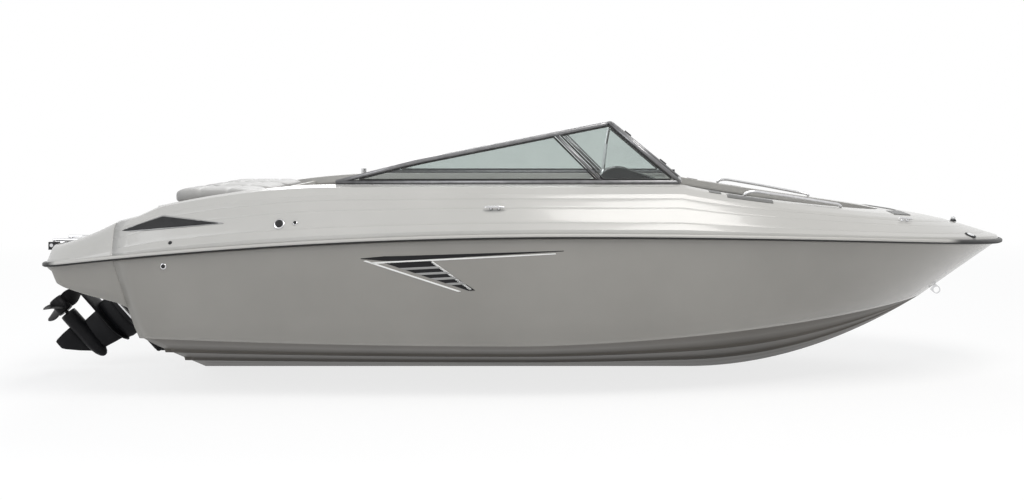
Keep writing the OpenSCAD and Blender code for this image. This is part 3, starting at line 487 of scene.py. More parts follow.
STATIONS = 110
s_hull = np.sin(np.linspace(0, math.pi / 2, STATIONS))
r_side = np.array([1, 0.93, 0.86, 0.79, 0.72, 0.64, 0.56, 0.48, 0.40, 0.36, 0.30, 0.22, 0.15, 0.1, 0.05, 0])
side = hull_side(s_hull[:, None], r_side[None, :])
kx = lerp(0.0, CHINE_END_X, s_hull)
chine = hull_side(s_hull, np.zeros(STATIONS))
b_share = np.array([0.985, 0.955, 0.952, 0.80, 0.655, 0.645, 0.638, 0.585, 0.46, 0.355, 0.345, 0.338,
                    0.29, 0.15, 0])
b_drop = np.array([-0.006, -0.035, -0.03, -0.006, 0, 0.02, 0.055, 0, 0, 0, 0.02, 0.05, 0, 0, 0])
t = (b_share - b_drop)[None, :, None]
floor_pts = np.stack([
    np.broadcast_to(kx[:, None], (STATIONS, 15)) + (chine[:, :1] - kx[:, None]) * b_share,
    chine[:, 1:2] * b_share,
    keel_z(kx)[:, None] + (chine[:, 2:3] - keel_z(kx)[:, None]) * t[..., 0]], -1)
half = np.concatenate([side, floor_pts], 1)
half[-1, :, 1] = 0                      # both sides meet in the stem
mirror = half[:, -2::-1] * np.array([1, -1, 1])
hull_grid = np.concatenate([half, mirror], 1)
# the hull skin takes the painted-shade grey of the white gelcoat
hull = grid_object("hull_skin", hull_grid, material=gel_hull_shaded.mat)
n_side = len(r_side)
cols = hull_grid.shape[1] - 1
print("hull", hull_grid.shape, "points; lowest", round(float(hull_grid[..., 2].min()), 4))

# %% Which faces are bottom, and the transom's edge
index = np.zeros((STATIONS - 1, cols), np.int32)
index[:, n_side - 1:cols - n_side + 1] = 1
hull.data.materials.append(bottom_paint.mat)
hull.data.polygons.foreach_set("material_index", index.ravel())
outward(hull)
finish_edges(hull, solid=0.008)
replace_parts(hull, "hull_shell")
print("bottom faces", int(index.sum()))

# %% [markdown]
# The deck runs from the rub rail up over the flank to the coaming, then down the lip into the
# cockpit. Its section is a run of slightly rounded flats, so the creases that catch the light
# run the whole length of the boat.


# %% Deck surface
PROFILE_R = np.array([0, 0.02, 0.11, 0.28, 0.46, 0.62, 0.78, 1.0])
PROFILE_Z = np.array([0, 0.11, 0.24, 0.54, 0.82, 0.96, 1.0, 1.0])
CREASES = (0.11, 0.28, 0.40)            # shallow grooves pressed along the flank


def deck_surface(s, r):
    """Lerp from the rail to the opening by r, with the height share read from the crease
    profile and raised to 1 - 0.4 s^6, which rounds the foredeck."""
    rail_x, open_x = lerp(TRANSOM_TOP_X, BOW_X, s), lerp(TRANSOM_TOP_X, 4.95, s)
    x = lerp(rail_x, open_x, r)
    y = lerp(sheer_y(rail_x), opening_y(open_x), r)
    rise = np.interp(r, PROFILE_R, PROFILE_Z) ** (1 - 0.4 * s ** 6)
    for crease in CREASES:
        rise = rise - 0.013 * np.exp(-((r - crease) / 0.005) ** 2)
    return np.stack([x, y, lerp(sheer_z(rail_x) + 0.003, crest_z(x), rise)], -1)


around = np.array([-0.012, -0.006, -0.003, 0, 0.003, 0.006, 0.012])
r_deck = np.unique(np.clip(np.concatenate([
    (np.array([0.02, *CREASES, 0.46, 0.62, 0.78])[:, None] + around).ravel(),
    np.linspace(0, 0.96, 20), [0.985, 1]]), 0, 1))
deck = deck_surface(s_hull[:, None], r_deck[None, :])
lip = deck[:, -1:]
lip_rows = [lip + np.array([0, 0, -d]) for d in (0.004, 0.02, 0.045, 0.07)]
deck_half = np.concatenate([deck] + lip_rows, 1)
deck_half[0, :, 0] = -deck_half[0, :, 2] * RAKE      # the aft edge leans with the transom
deck_grid = np.concatenate([deck_half, deck_half[-2::-1] * np.array([1, -1, 1])], 0)
deck_piece = outward(grid_object("deck_moulding", deck_grid, material=gel_white.mat))
finish_edges(deck_piece, solid=0.006)
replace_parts(deck_piece, "deck")
print("deck", deck_grid.shape)

# %% [markdown]
# Aft of the transom the hull's sides carry on as wings beside the swim platform. Each wing is
# a closed section carried aft while it shrinks, and its corner is a quarter circle in plan.

# %% Platform wings
WING_LOW = np.array([[0.3, .590], [0.41, .637], [0.63, .687], [0.8, .735], [0.855, .759],
                     [0.9, .837], [1, .866]])      # share aft, height of the low edge
CORNER = 0.150


def platform_y(x):
    """Rub rail breadth, less a quarter circle round the aft corner."""
    c = STERN_X + CORNER
    cut = CORNER * (1 - np.sqrt(np.maximum(0, 1 - (np.maximum(0, c - x) / CORNER) ** 2)))
    return sheer_y(x) - cut


def wing_surface(s):
    """Section points at share s aft. Above the rail it is the deck's own profile drawn in to
    the well. Below, it follows the hull side's bulge, which fades out towards the corner."""
    x = lerp(TRANSOM_TOP_X, STERN_X, s)
    y, zs = platform_y(x), sheer_z(x)
    crest = np.maximum(crest_z(x), PLATFORM_Z + 0.002)
    low = np.minimum(np.interp(-x / 0.715, WING_LOW[:, 0], WING_LOW[:, 1]), zs - 0.012)
    one = np.ones_like(x)
    hull_low, hull_high = float(chine_z(0.0)), float(sheer_z(TRANSOM_TOP_X))
    inset = float(sheer_y(TRANSOM_TOP_X) - chine_y(0.0))

    def flank(z):
        up = (z - hull_low) / (hull_high - hull_low)
        share = np.interp(up, [0, 0.15, 0.4, 0.72, 1], [0, 0.32, 0.6, 0.86, 1])
        return y - 0.0005 - inset * (1 - share) * (1 - 0.7 * s)

    pts = [(y - 0.13, 0.86 * one), (flank(low) - 0.05, lerp(low, 0.86, 0.2)), (flank(low) - 0.03, low + 0.002),
           (flank(low) - 0.008, low)]
    pts += [(flank(lerp(low, zs, k)), lerp(low, zs, k)) for k in (0.02, 0.25, 0.5, 0.75, 0.97)]
    low_side = len(pts)
    for r in (0, 0.02, 0.11, 0.2, 0.28, 0.37, 0.46, 0.54, 0.62, 0.7, 0.78, 0.9, 0.985):
        pts.append((lerp(y, 0.884, r), lerp(zs + 0.003, crest, np.interp(r, PROFILE_R, PROFILE_Z))))
    pts += [(0.884 * one, crest - 0.004), (0.881 * one, PLATFORM_Z + 0.004), (0.881 * one, 0.86 * one)]
    y_all = np.stack([p[0] * one for p in pts], 1)
    z_all = np.stack([p[1] * one for p in pts], 1)
    x0 = TRANSOM_TOP_X - (z_all - hull_high) * RAKE
    return np.stack([lerp(x0, STERN_X, s[:, None]), y_all, z_all], -1), low_side


s_wing = 1 - (1 - np.linspace(0, 1, 60)) ** 1.8
wing, low_side = wing_surface(s_wing)      # hull grey below the rail, deck white above
wings = []
for k, m in enumerate((1, -1)):
    ob = grid_object(f"wing_{k}", wing * np.array([1, m, 1]), material=gel_white.mat, wrap_cols=True, caps=True)
    # the faces below the rail take the hull's painted-shade grey
    ob.data.materials.append(gel_hull_shaded.mat)
    low_faces = np.zeros(len(ob.data.polygons), np.int32)
    low_faces[:(len(s_wing) - 1) * wing.shape[1]].reshape(-1, wing.shape[1])[:, :low_side] = 1
    ob.data.polygons.foreach_set("material_index", low_faces)
    wings.append(outward(ob))
slab_top = slab("platform_slab", [(-0.86 * RAKE, 0.862), (-0.985 * RAKE, 0.985), (STERN_X + 0.03, 0.985),
                                  (STERN_X + 0.004, 0.975), (STERN_X + 0.001, 0.95), (STERN_X + 0.001, 0.862)],
                -0.8795, 0.8795, material=gel_white.mat, bevel=0.006)
box_piece("platform_mat", (STERN_X + 0.07, -0.80, 0.984), (-0.30, 0.80, 0.9885),
          material=mat_sole.mat)
platform = join("platform_wings", wings)
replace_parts(platform, "swim_platform")
print("wing stations", len(s_wing))

# %% [markdown]
# The rub rail is a rubber strip in a carrier, swept round the whole boat at the joint of hull
# and deck. Its profile swells outwards. It is pale along the side and black round the bow and
# the stern corners, and a thin black bead runs along its foot.

# %% Rub rail
rub_pale = Finish("rub_rail_strip", Roughness=0.42)
split = rub_pale.node("ShaderNodeSeparateXYZ")
rub_pale.link(rub_pale.where, split.inputs[0])
share = rub_pale.math("MULTIPLY", rub_pale.math("ADD", split.outputs["X"], 3.2), 1 / 7)
BLACK, PALE = (0.018, 0.018, 0.018), (0.44, 0.432, 0.41)
rub_pale.colour(rub_pale.ramp(share, [(0.036, BLACK), (0.043, PALE), (0.884, PALE), (0.897, BLACK)]))
rub_pale.bump(rub_pale.noise(500, 5), 0.08)
aft_x = lerp(TRANSOM_TOP_X, STERN_X, s_wing[::-1])
aft_line = np.stack([aft_x, platform_y(aft_x), sheer_z(aft_x)], -1)
fore_x = lerp(TRANSOM_TOP_X, BOW_X, s_hull)
fore_line = np.stack([fore_x, sheer_y(fore_x), sheer_z(fore_x)], -1)
port_line = np.concatenate([aft_line[:-1], fore_line])
line = np.concatenate([port_line, port_line[-2::-1] * np.array([1, -1, 1])])
d = unit(np.gradient(line, axis=0))
out = unit(np.stack([-d[:, 1], d[:, 0], np.zeros(len(d))], -1))
rub_profile = np.array([[0, -.020], [.012, -.018], [.021, -.013], [.0255, -.003], [.024, .005],
                        [.018, .010], [0, .013]])
up_z = np.array([0, 0, 1.0])
P = line[:, None] + (rub_profile[None, :, :1] + 0.0011) * out[:, None] + rub_profile[None, :, 1:] * up_z
rub = grid_object("rub_rail_strip", P, material=rub_pale.mat, wrap_cols=True, caps=True)
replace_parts(rub, "rub_rail")
bead = np.array([[.011, -.0198], [.0222, -.0150], [.0264, -.0085], [.0235, -.0070]])
P = line[:, None] + bead[None, :, :1] * out[:, None] + bead[None, :, 1:] * up_z
insert = grid_object("rub_rail_insert", P, material=black_rubber.mat, wrap_cols=True, caps=True)
print("rub rail points", len(line))

# %% [markdown]
# The windshield's frame is round-cornered rails with a black gasket inside. The side rail
# kinks where it leaves its steep aft foot and runs up to the header. The glass panes are the
# packed ones, with a clear pale green glass.

# %% Windshield frame
base_h = 1.4003
aft_foot = np.array([1.150, .945, base_h])
top_corner = np.array([2.968, .840, 1.792])
fore_foot = np.array([3.430, .905, base_h])
walk_top = np.array([2.985, .310, 1.792])
walk_foot = np.array([3.470, .310, base_h])
bend = np.array([1.660, .915, lerp(base_h, 1.792, 0.335)])
div_foot, div_top = lerp(aft_foot, fore_foot, 0.775), lerp(bend, top_corner, 0.72)
oval = ring(1, 16) * np.array([0.0135, 0.0147])


def frame_rail(name, pts, profile=oval, corner=0.03, mirror_y=1, material=dark_frame.mat, body="hull"):
    """A rail through pts, on port or mirrored to starboard."""
    pts = [np.asarray(p, float) * np.array([1, mirror_y, 1]) for p in pts]
    return sweep(name, rounded_path(pts, corner), profile, (0.02, 0.3, 1), body=body, material=material)


parts = []
for k, m in enumerate((1, -1)):
    parts += [
        frame_rail(f"rail_side_{k}", [aft_foot + (0.004, 0, 0.001), bend, top_corner, walk_top],
                   corner=0.07, mirror_y=m),
        frame_rail(f"rail_base_{k}", [aft_foot, fore_foot, walk_foot], corner=0.03, mirror_y=m),
        frame_rail(f"rail_front_{k}", [top_corner, fore_foot], mirror_y=m),
        frame_rail(f"rail_walk_{k}", [walk_top, walk_foot], mirror_y=m),
        frame_rail(f"rail_divider_{k}", [div_top, div_foot], ring(0.0105), mirror_y=m),
        frame_rail(f"rail_divider_b{k}", [div_top + (-.026, 0, -.006), div_foot + (-.026, 0, 0)], ring(0.006),
                   mirror_y=m, material=gasket.mat)]
frame_piece = join("windshield_rails", parts)
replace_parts(frame_piece, "windshield_frame")


def gasket_loop(name, corners, inset, mirror_y=1, body="hull"):
    """A thin black bead inside a closed ring of corners, moved in by inset from each edge."""
    c = np.array(corners, float) * np.array([1, mirror_y, 1])
    a, b = unit(np.roll(c, -1, 0) - c), unit(np.roll(c, 1, 0) - c)
    inner = c + (a + b) * inset / np.linalg.norm(np.cross(a, b), axis=1, keepdims=True)
    mids = (inner + np.roll(inner, -1, 0)) / 2
    loop = np.stack([inner, mids], 1).reshape(-1, 3)
    pts = rounded_path(np.concatenate([mids[-1:], loop]), 0.012, 4)
    return sweep(name, pts[:-1] if np.allclose(pts[0], pts[-1]) else pts, ring(1, 8) * np.array([.0065, .0045]),
                 (0.02, 0.3, 1), closed=True, body=body, material=gasket.mat)


beads = []
for k, m in enumerate((1, -1)):
    beads += [gasket_loop(f"bead_a{k}", [aft_foot, div_foot, div_top, bend], 0.019, m),
              gasket_loop(f"bead_b{k}", [div_foot, fore_foot, top_corner, div_top], 0.019, m),
              gasket_loop(f"bead_c{k}", [fore_foot, walk_foot, walk_top, top_corner], 0.019, m)]
join("windshield_gaskets", beads)
door_y = 0.310 - 0.015 - 0.006 - 0.011
door_c = [(3.470, door_y, base_h), (3.470, -door_y, base_h), (2.985, -door_y, 1.792), (2.985, door_y, 1.792)]
ring_pts = np.array(door_c)
mid = (ring_pts[0] + ring_pts[-1]) / 2
door = sweep("door_rails", rounded_path([mid, *ring_pts, mid], 0.022)[:-1], ring(1, 12) * .0108, (0, 0.02, 1),
             closed=True, body="windshield_door", material=dark_frame.mat)
out_dir = unit(np.array([0.392, 0, 0.485]))
hinges = [lathe("knuckle%d" % k, [(0.012, -.03), (.0128, -.028), (.0128, .028), (.012, .03)],
                lerp(walk_foot, walk_top, f) + np.array([0, -.022, 0]) + .018 * out_dir,
                walk_top - walk_foot, "windshield_door", black_plastic.mat) for k, f in enumerate((0.2, 0.75))]
latch = box_piece("latch", (3.412, -door_y - .002, 1.436), (3.440, -door_y + .04, 1.460),
                  "windshield_door", black_plastic.mat)
door = join("windshield_door_frame", [door, *hinges, latch])
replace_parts(door, "windshield_door")
gasket_loop("door_gasket", door_c, 0.0135, 1, "windshield_door")
for n in ("side_glass", "front_glass", "windshield_door_glass"):
    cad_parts[n].data.materials.clear()
    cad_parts[n].data.materials.append(glass.mat)
print("windshield pieces", len(parts) + len(beads))

# %% [markdown]
# Everything that keeps its imported shape gets its finish from one table of node and material.

# %% Finishes on imported nodes
# the transom board takes the hull's painted-shade grey
for names, finish in (
        ("transom_board", gel_hull_shaded), ("aft_deck", gel_white), ("cockpit_sides", gel_liner), ("cockpit_sole", mat_sole),
        ("bow_sole", mat_sole), ("engine_bay", gel_liner), ("engine", engine_grey), ("windshield_braces", steel),
        ("seat_pedestals", steel), ("bench_base", gel_liner), ("bow_seat_bases", gel_liner),
        ("stern_light_socket", steel), ("bow_eye", steel), ("transom_eyes", steel), ("ladder_bracket", black_plastic),
        ("swim_ladder", steel), ("gimbal_housing", drive_paint), ("gimbal_ring", drive_paint),
        ("trim_barrels", drive_paint), ("trim_rods", steel), ("engine_hatch", gel_white)):
    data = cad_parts[names].data
    data.materials.clear()
    data.materials.append(finish.mat)
print("packed nodes finished")

# %% [markdown]
# A cushion is foam in sewn vinyl: crowned on top, pulled in at the seams, flat only where it
# rests. The start is a rounded block from a superellipsoid grid. It is then puffed by a short
# cloth simulation with air pressure inside, and the sewn channels are pressed in afterwards.


# %% Cushion shapes
def soft_block(name, lo, hi, body, material, power=(7, 5), n=(40, 64), lean=0.0):
    """Superellipsoid block: |cos|^(2/p) and |sin|^(2/p) keep the sides full and the corners
    round; lean shears x by z for a raked backrest."""
    lo, hi = np.array(lo, float), np.array(hi, float)
    v = np.linspace(-math.pi / 2, math.pi / 2, n[0])[:, None]
    u = np.linspace(-math.pi, math.pi, n[1], endpoint=False)[None, :]
    f = lambda w, p: np.sign(w) * np.abs(w) ** (2 / p)
    x = f(np.cos(v), power[1]) * f(np.cos(u), power[0])
    y = f(np.cos(v), power[1]) * f(np.sin(u), power[0])
    z = f(np.sin(v), power[1]) * np.ones_like(u)
    P = (lo + hi) / 2 + np.stack([x, y, z], -1) * (hi - lo) / 2
    P[..., 0] += lean * (P[..., 2] - lo[2])
    return outward(grid_object(name, P, body, material, wrap_cols=True))


def puff(ob, cap=0.012, voxel=0.014, pressure=4.0, frames=20):
    """Cloth simulation: voxel remesh, air pressure without gravity, 20 frames, then each
    point's travel is held to cap."""
    scene = bpy.context.scene
    me = ob.data
    m = ob.modifiers.new("remesh", "REMESH")
    m.mode, m.voxel_size = "VOXEL", voxel
    dg = bpy.context.evaluated_depsgraph_get()
    new = bpy.data.meshes.new_from_object(ob.evaluated_get(dg))
    ob.modifiers.clear()
    ob.data = new
    rest = np.zeros(len(new.vertices) * 3)
    new.vertices.foreach_get("co", rest)
    cloth = ob.modifiers.new("cloth", "CLOTH")
    cloth.settings.use_pressure = True
    cloth.settings.uniform_pressure_force = pressure
    cloth.settings.effector_weights.gravity = 0
    cloth.settings.quality = 4
    cloth.settings.tension_stiffness = 25
    cloth.settings.mass = 0.4
    for k in range(1, frames + 1):
        scene.frame_set(k)
    dg = bpy.context.evaluated_depsgraph_get()
    moved = np.zeros(len(new.vertices) * 3)
    ob.evaluated_get(dg).to_mesh().vertices.foreach_get("co", moved)
    ob.modifiers.clear()
    step = (moved - rest).reshape(-1, 3)
    far = np.linalg.norm(step, axis=1, keepdims=True)
    step *= np.minimum(1, cap / np.maximum(far, 1e-9))
    new.vertices.foreach_set("co", (rest.reshape(-1, 3) + step).ravel())
    scene.frame_set(1)
    new.shade_smooth()
    finish_edges(ob, subdivide=1)
    bpy.data.meshes.remove(me)
    return ob


def press(ob, axis, lines, depth=0.008, width=0.012, only=None):
    """Sewn channels: points near each plane axis = line sink by depth * exp(-(d/width)^2)
    towards the piece's middle along the other axes."""
    co = np.zeros(len(ob.data.vertices) * 3)
    ob.data.vertices.foreach_get("co", co)
    co = co.reshape(-1, 3)
    centre = (co.min(0) + co.max(0)) / 2
    pull = sum(np.exp(-((co[:, axis] - l) / width) ** 2) for l in lines)
    direction = np.zeros(3)
    direction[2 if only is None else only] = 1
    sign = np.sign((co - centre) @ direction)
    co -= (pull * depth * sign)[:, None] * direction
    ob.data.vertices.foreach_set("co", co.ravel())
    return ob


def cushion(name, lo, hi, body, material, node=None, channels=(), axis=1, only=None,
            lean=0.0, grow=0.007):
    """A padded piece inside the box from lo to hi, with sewn channels across an axis."""
    lo, hi = np.array(lo, float) + grow, np.array(hi, float) - grow
    lo[2] -= grow * 0.8
    ob = puff(soft_block(name, lo, hi, body, material, lean=lean), cap=grow)
    if channels:
        press(ob, axis, [c + KEEL_TO_ROW[axis] for c in channels], only=only)
    if node:
        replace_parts(ob, *node)
    return ob


print("cushion helpers ready")

# %% [markdown]
# The seats: two swivelling buckets, the bench across the back of the cockpit, and the sun pad
# on the engine hatch. Grey vinyl with darker end panels is used throughout.

# %% Bucket seats, bench and sun pad
seat_top = 0.98
for body, y, node in (("helm_seat", -.495, "helm_seat"), ("passenger_seat", .495, "passenger_seat")):
    base = cushion(node + "_base", (1.90, y - .26, .872), (2.40, y + .26, .98), body, vinyl_pale.mat, [node],
                   channels=(y - .16, y + .16))
    back = cushion(node + "_back", (1.885, y - .25, .955), (1.975, y + .25, 1.335), body, vinyl_grey.mat,
                   channels=(y - .15, y + .15), only=0, lean=-0.14)
    side_pads = [cushion(f"{node}_wing_{k}", (1.93, y + k * .215 - .045, .965), (2.24, y + k * .215 + .045, 1.08), body,
                         vinyl_dark.mat) for k in (-1, 1)]
    plate = lathe(node + "_plate", [(.02, -.028), (.118, -.028), (.12, -.024), (.12, -.002), (.02, -.001)],
                  (2.13, y, .87), (0, 0, 1), body, black_plastic.mat)
bench = cushion("bench_seat", (.626, -.873, .872), (1.142, .873, .978), "hull", vinyl_pale.mat, ["rear_bench"],
                channels=(-.44, 0, .44))
bench_back = cushion("bench_back", (.626, -.873, .983), (.737, .873, 1.325), "hull", vinyl_grey.mat,
                     channels=(-.44, 0, .44), only=0)
pad_z = float(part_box("sun_pad")[0][2]) - KEEL_TO_ROW[2]
pad_y = 0.795
pads = [cushion(f"sun_pad_{k}", (.0, a + .004, pad_z + .004), (.562, b - .004, pad_z + .112), "hatch", vinyl_grey.mat,
                ["sun_pad"] if k == 0 else None, channels=(.19, .38), axis=0)
        for k, (a, b) in enumerate(((-pad_y, -.27), (-.27, .27), (.27, pad_y)))]
print("sun pad rests at", round(pad_z, 3))

# %% [markdown]
# The bow lounge has two long seats that follow the narrowing opening, and padded bolsters
# along the coaming. The seats are made as plan outlines with crowned tops, and the bolsters
# as fat tubes flattened against the wall.


# %% Bow cushions
def plan_cushion(name, outline, z0, z1, material, crown=0.012, mirror_y=1):
    """A cushion over a plan outline: rings shrink towards the middle by sqrt(1 - k^2) while
    the height rises, so that edges are round and the top is crowned."""
    o = rounded_path([*outline, outline[0], outline[1]], 0.06, 8)[1:-1]
    o = np.array([o[0], *[b for a, b in zip(o[:-1], o[1:]) if np.linalg.norm(b - a) > 1e-4]])
    if np.allclose(o[0], o[-1]):
        o = o[:-1]
    c = o.mean(0)
    levels = [(0.55, z0), (0.93, z0 + .001), (.985, z0 + .012), (1, z0 + .03), (1, z1 - .03), (.985, z1 - .012),
              (.95, z1 - .003), (.8, z1 + crown * .3), (.5, z1 + crown * .8), (.2, z1 + crown), (.02, z1 + crown)]
    P = np.array([np.c_[c + (o - c) * k, np.full(len(o), z)] for k, z in levels]) * np.array([1, mirror_y, 1])
    ob = grid_object(name, P, "hull", material, wrap_cols=True, caps=True)
    finish_edges(ob, subdivide=1)
    return ob


bow_z = 0.690 + 0.250 + 0.026
plan = [(3.527, .312), (3.527, .828), (3.85, .80), (4.20, .655), (4.50, .535), (4.517, .50),
        (4.517, .268), (4.15, .308)]
bow_seats = [plan_cushion(f"bow_seat_{k}", plan, bow_z, bow_z + .05, vinyl_pale.mat, .008, m)
             for k, m in enumerate((1, -1))]
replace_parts(bow_seats[0], "bow_cushions")


def bolster(name, a, b, mirror_y):
    """A padded roll along the opening's wall: a flattened ring swept on an offset line, with
    its ends drawn in by (1 - t^8)^(1/3)."""
    x = np.linspace(a, b, 40)
    off = 0.0185 * np.sqrt(1 + np.gradient(opening_y(x), x) ** 2) + .003
    line = np.stack([x, (opening_y(x) - off) * mirror_y, crest_z(x) - .105], -1)
    w = np.maximum(0.02, (1 - np.abs(np.linspace(-1, 1, 40)) ** 8)) ** (1 / 3)
    d = unit(np.gradient(line, axis=0))
    s = unit(np.cross(d, (0, 0, 1.0)))
    q = ring(1, 20) * np.array([.0165, .0345])
    around = q[None, :, :1] * s[:, None] + q[None, :, 1:] * np.array([0, 0, 1.0])
    P = line[:, None] + around * w[:, None, None]
    ob = grid_object(name, P, "hull", vinyl_dark.mat, wrap_cols=True, caps=True)
    return ob


rolls = [bolster(f"bow_bolster_{k}{j}", a, b, m) for k, m in enumerate((1, -1))
         for j, (a, b) in enumerate(((3.55, 4.13), (4.19, 4.65)))]
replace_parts(rolls[0], "bow_bolsters")
print("bow seats and bolsters", len(bow_seats) + len(rolls))

# %% [markdown]
# The helm: a moulded console with a black instrument hood, round gauges with bright rings, a
# padded wheel with three spokes, and the throttle on the side wall.

# %% Consoles and helm
WHEEL_Y, DASH = -0.495, 1.360
console = [(2.85, .5605), (2.85, 1.01), (2.76, 1.08), (2.765, 1.10), (2.82, 1.33), (2.835, 1.35), (2.87, DASH),
           (3.42, DASH), (3.455, 1.352), (3.478, 1.30), (3.498, .6905), (3.2998, .6905), (3.2998, .5605)]
for name, a, b, node in (("helm_moulding", -.8695, -.2805, "helm_console"),
                         ("passenger_moulding", .2805, .8695, "passenger_console")):
    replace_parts(slab(name, console, a, b, material=gel_liner.mat, bevel=0.01), node)
hood = [(2.862, DASH), (2.862, 1.39), (2.938, 1.462), (2.952, 1.474), (3.01, 1.488), (3.07, 1.482), (3.325, 1.392),
        (3.343, 1.362), (3.343, DASH)]
slab("instrument_hood", hood, WHEEL_Y - .159, WHEEL_Y + .159, material=black_plastic.mat, bevel=0.014)
slab("passenger_hood", [(2.902, DASH), (2.958, 1.389), (3.245, 1.377), (3.268, DASH)], .336, .654,
     material=black_plastic.mat, bevel=0.01)
face = unit(np.array([-.115, 0, .075]))
for k, (dy, r) in enumerate(((-.085, .045), (0, .036), (.085, .045))):
    at = np.array([2.905, WHEEL_Y + dy, 1.428]) - face * .004
    lathe(f"gauge_ring_{k}", [(r * .8, 0), (r, 0), (r + .003, .004), (r, .009), (r * .9, .009), (r * .86, .005), (.001, .005)],
          at, face, material=steel.mat, n=48)
    lathe(f"gauge_dial_{k}", [(.001, .005), (r * .84, .005), (r * .84, .0065), (.001, .0065)], at, face,
          material=stripe_white.mat, n=48)
    lathe(f"gauge_needle_{k}", [(.001, .006), (.006, .006), (.005, .009), (.001, .0095)], at, face,
          material=black_plastic.mat)
hub = np.array([2.66, WHEEL_Y, 1.225])
shaft = np.array([math.sin(math.radians(112)), 0, math.cos(math.radians(112))])
lathe("steering_column", [(.028, .0145), (.034, .03), (.03, .10), (.036, .19), (.001, .20)], hub, shaft,
      material=black_plastic.mat)
wu, wv = np.array([0, 1.0, 0]), np.cross(shaft, (0, 1.0, 0))
a = np.linspace(0, 2 * math.pi, 96, endpoint=False)[:, None]
rim_line = hub + .175 * (np.cos(a) * wu + np.sin(a) * wv)
rim = sweep("wheel_rim", rim_line, ring(.0145, 14), shaft, True, "wheel", black_plastic.mat)
spokes = []
for k, ang in enumerate((0, 120, 240)):
    # widths shrink along the spoke and flare at both ends: w = .012 + .010 (2t - 1)^2
    w0 = math.radians(ang + 90)
    dr = math.cos(w0) * wu + math.sin(w0) * wv
    tt = np.linspace(0, 1, 14)[:, None]
    path = hub + dr * lerp(.03, .168, tt) + shaft * (-.004)
    width = .012 + .010 * (2 * tt - 1) ** 2
    sd = np.cross(shaft, dr)
    q = ring(1, 12)
    P = path[:, None] + q[None, :, :1] * width[:, None] * sd + q[None, :, 1:] * .0045 * shaft
    spokes.append(grid_object(f"spoke_{k}", P, "wheel", steel.mat, wrap_cols=True, caps=True))
boss = lathe("wheel_boss", [(.001, -.012), (.03, -.012), (.044, -.006), (.048, .002), (.044, .013), (.001, .0135)],
             hub, shaft, "wheel", black_plastic.mat)
wheel = join("steering_wheel_piece", [rim, *spokes, boss])
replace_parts(wheel, "steering_wheel")
throttle = [box_piece("throttle_box", (2.562, -.8796, 1.132), (2.718, -.836, 1.238),
                      material=black_plastic.mat, bevel=.012),
            lathe("throttle_hub", [(.001, 0), (.03, 0), (.03, .012), (.018, .02), (.018, .034), (.001, .035)],
                  (2.64, -.84, 1.19), (0, 1, 0), material=black_plastic.mat),
            tube("throttle_lever", [(2.64, -.812, 1.19), (2.645, -.812, 1.24), (2.66, -.812, 1.33)], .0095,
                 material=steel.mat),
            lathe("throttle_grip", [(.001, -.028), (.013, -.026), (.0165, -.01), (.0165, .014), (.012, .028), (.001, .03)],
                  (2.66, -.822, 1.335), (0, 1, 0), material=black_plastic.mat)]
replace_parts(throttle[0], "throttle_control")
print("helm pieces made")

# %% [markdown]
# The stern drive is drawn in its own lowered position, then turned up about its pivot, as the
# real one is stored. Its leg is a stack of streamlined sections: each is a lens with a round
# nose and a thin trailing edge, widened or narrowed from top to bottom.


# %% Drive helpers
PIVOT = np.array([-0.257, 0, 0.370])
TILT = math.radians(48)
TURN = np.array([[math.cos(TILT), 0, math.sin(TILT)], [0, 1, 0], [-math.sin(TILT), 0, math.cos(TILT)]])


def up_turned(P):
    """Points of the lowered drive turned up by the stored tilt about the pivot."""
    return PIVOT + np.asarray(P, float) @ TURN.T


def foil_stack(name, rows, material, body="drive", n=36):
    """rows of (z, nose x, tail x, half width): section y = w * sqrt(sin(pi t)) * (1 - 0.35 t)
    from nose to tail, round at the nose and thin at the tail."""
    t = (1 - np.cos(np.linspace(0, math.pi, n))) / 2
    shape = np.sqrt(np.sin(math.pi * np.clip(t, 0, 1)) + 1e-9) * (1 - .35 * t)
    P = []
    for z, nose, tail, w in rows:
        x = lerp(nose, tail, t)
        P.append(np.concatenate([np.stack([x, w * shape, np.full(n, z)], -1),
                                 np.stack([x, -w * shape, np.full(n, z)], -1)[-2:0:-1]]))
    return grid_object(name, up_turned(np.array(P)), body, material, wrap_cols=True, caps=True)


drop = 0.550
leg = foil_stack("drive_leg_housing", [(.048, -.15, -.30, .055), (.046, -.10, -.345, .074), (.02, -.075, -.385, .0795),
                                       (-.02, -.07, -.40, .0795), (-.19, -.07, -.415, .078), (-.30, -.078, -.424, .074),
                                       (-.345, -.095, -.428, .066), (-.354, -.11, -.42, .05)], drive_paint.mat)
lower = foil_stack("drive_strut", [(-.35, -.115, -.40, .036), (-.42, -.13, -.40, .033), (-.50, -.15, -.40, .034),
                                   (-.545, -.16, -.40, .05)], drive_paint.mat)
pod = lathe("drive_torpedo", [(.001, -.292), (.016, -.288), (.030, -.272), (.044, -.24), (.054, -.19), (.058, -.13),
                              (.058, .10), (.056, .122), (.001, .128)],
            up_turned((-.40, 0, -drop)), TURN @ np.array([-1.0, 0, 0]), "drive", drive_paint.mat)
t = np.linspace(0, 1, 24)
plate_w = .119 * np.minimum(1, np.sqrt(np.clip(t * 5, 0, 1))) * (1 - .12 * t)
px = lerp(-.08, -.629, t)
pz = -drop + .185 + .012
section = np.array([[0, 0], [.5, 0], [.93, .002], [1, .007], [.93, .012], [.5, .0155], [0, .016]])
full = np.concatenate([section, section[-2:0:-1] * np.array([-1, 1])])
P = np.stack([np.broadcast_to(px[:, None], (24, len(full))), plate_w[:, None] * full[None, :, 0],
              np.broadcast_to(pz + full[None, :, 1], (24, len(full)))], -1)
plate = grid_object("anti_vent_plate", up_turned(P), "drive", drive_paint.mat, wrap_cols=True, caps=True)
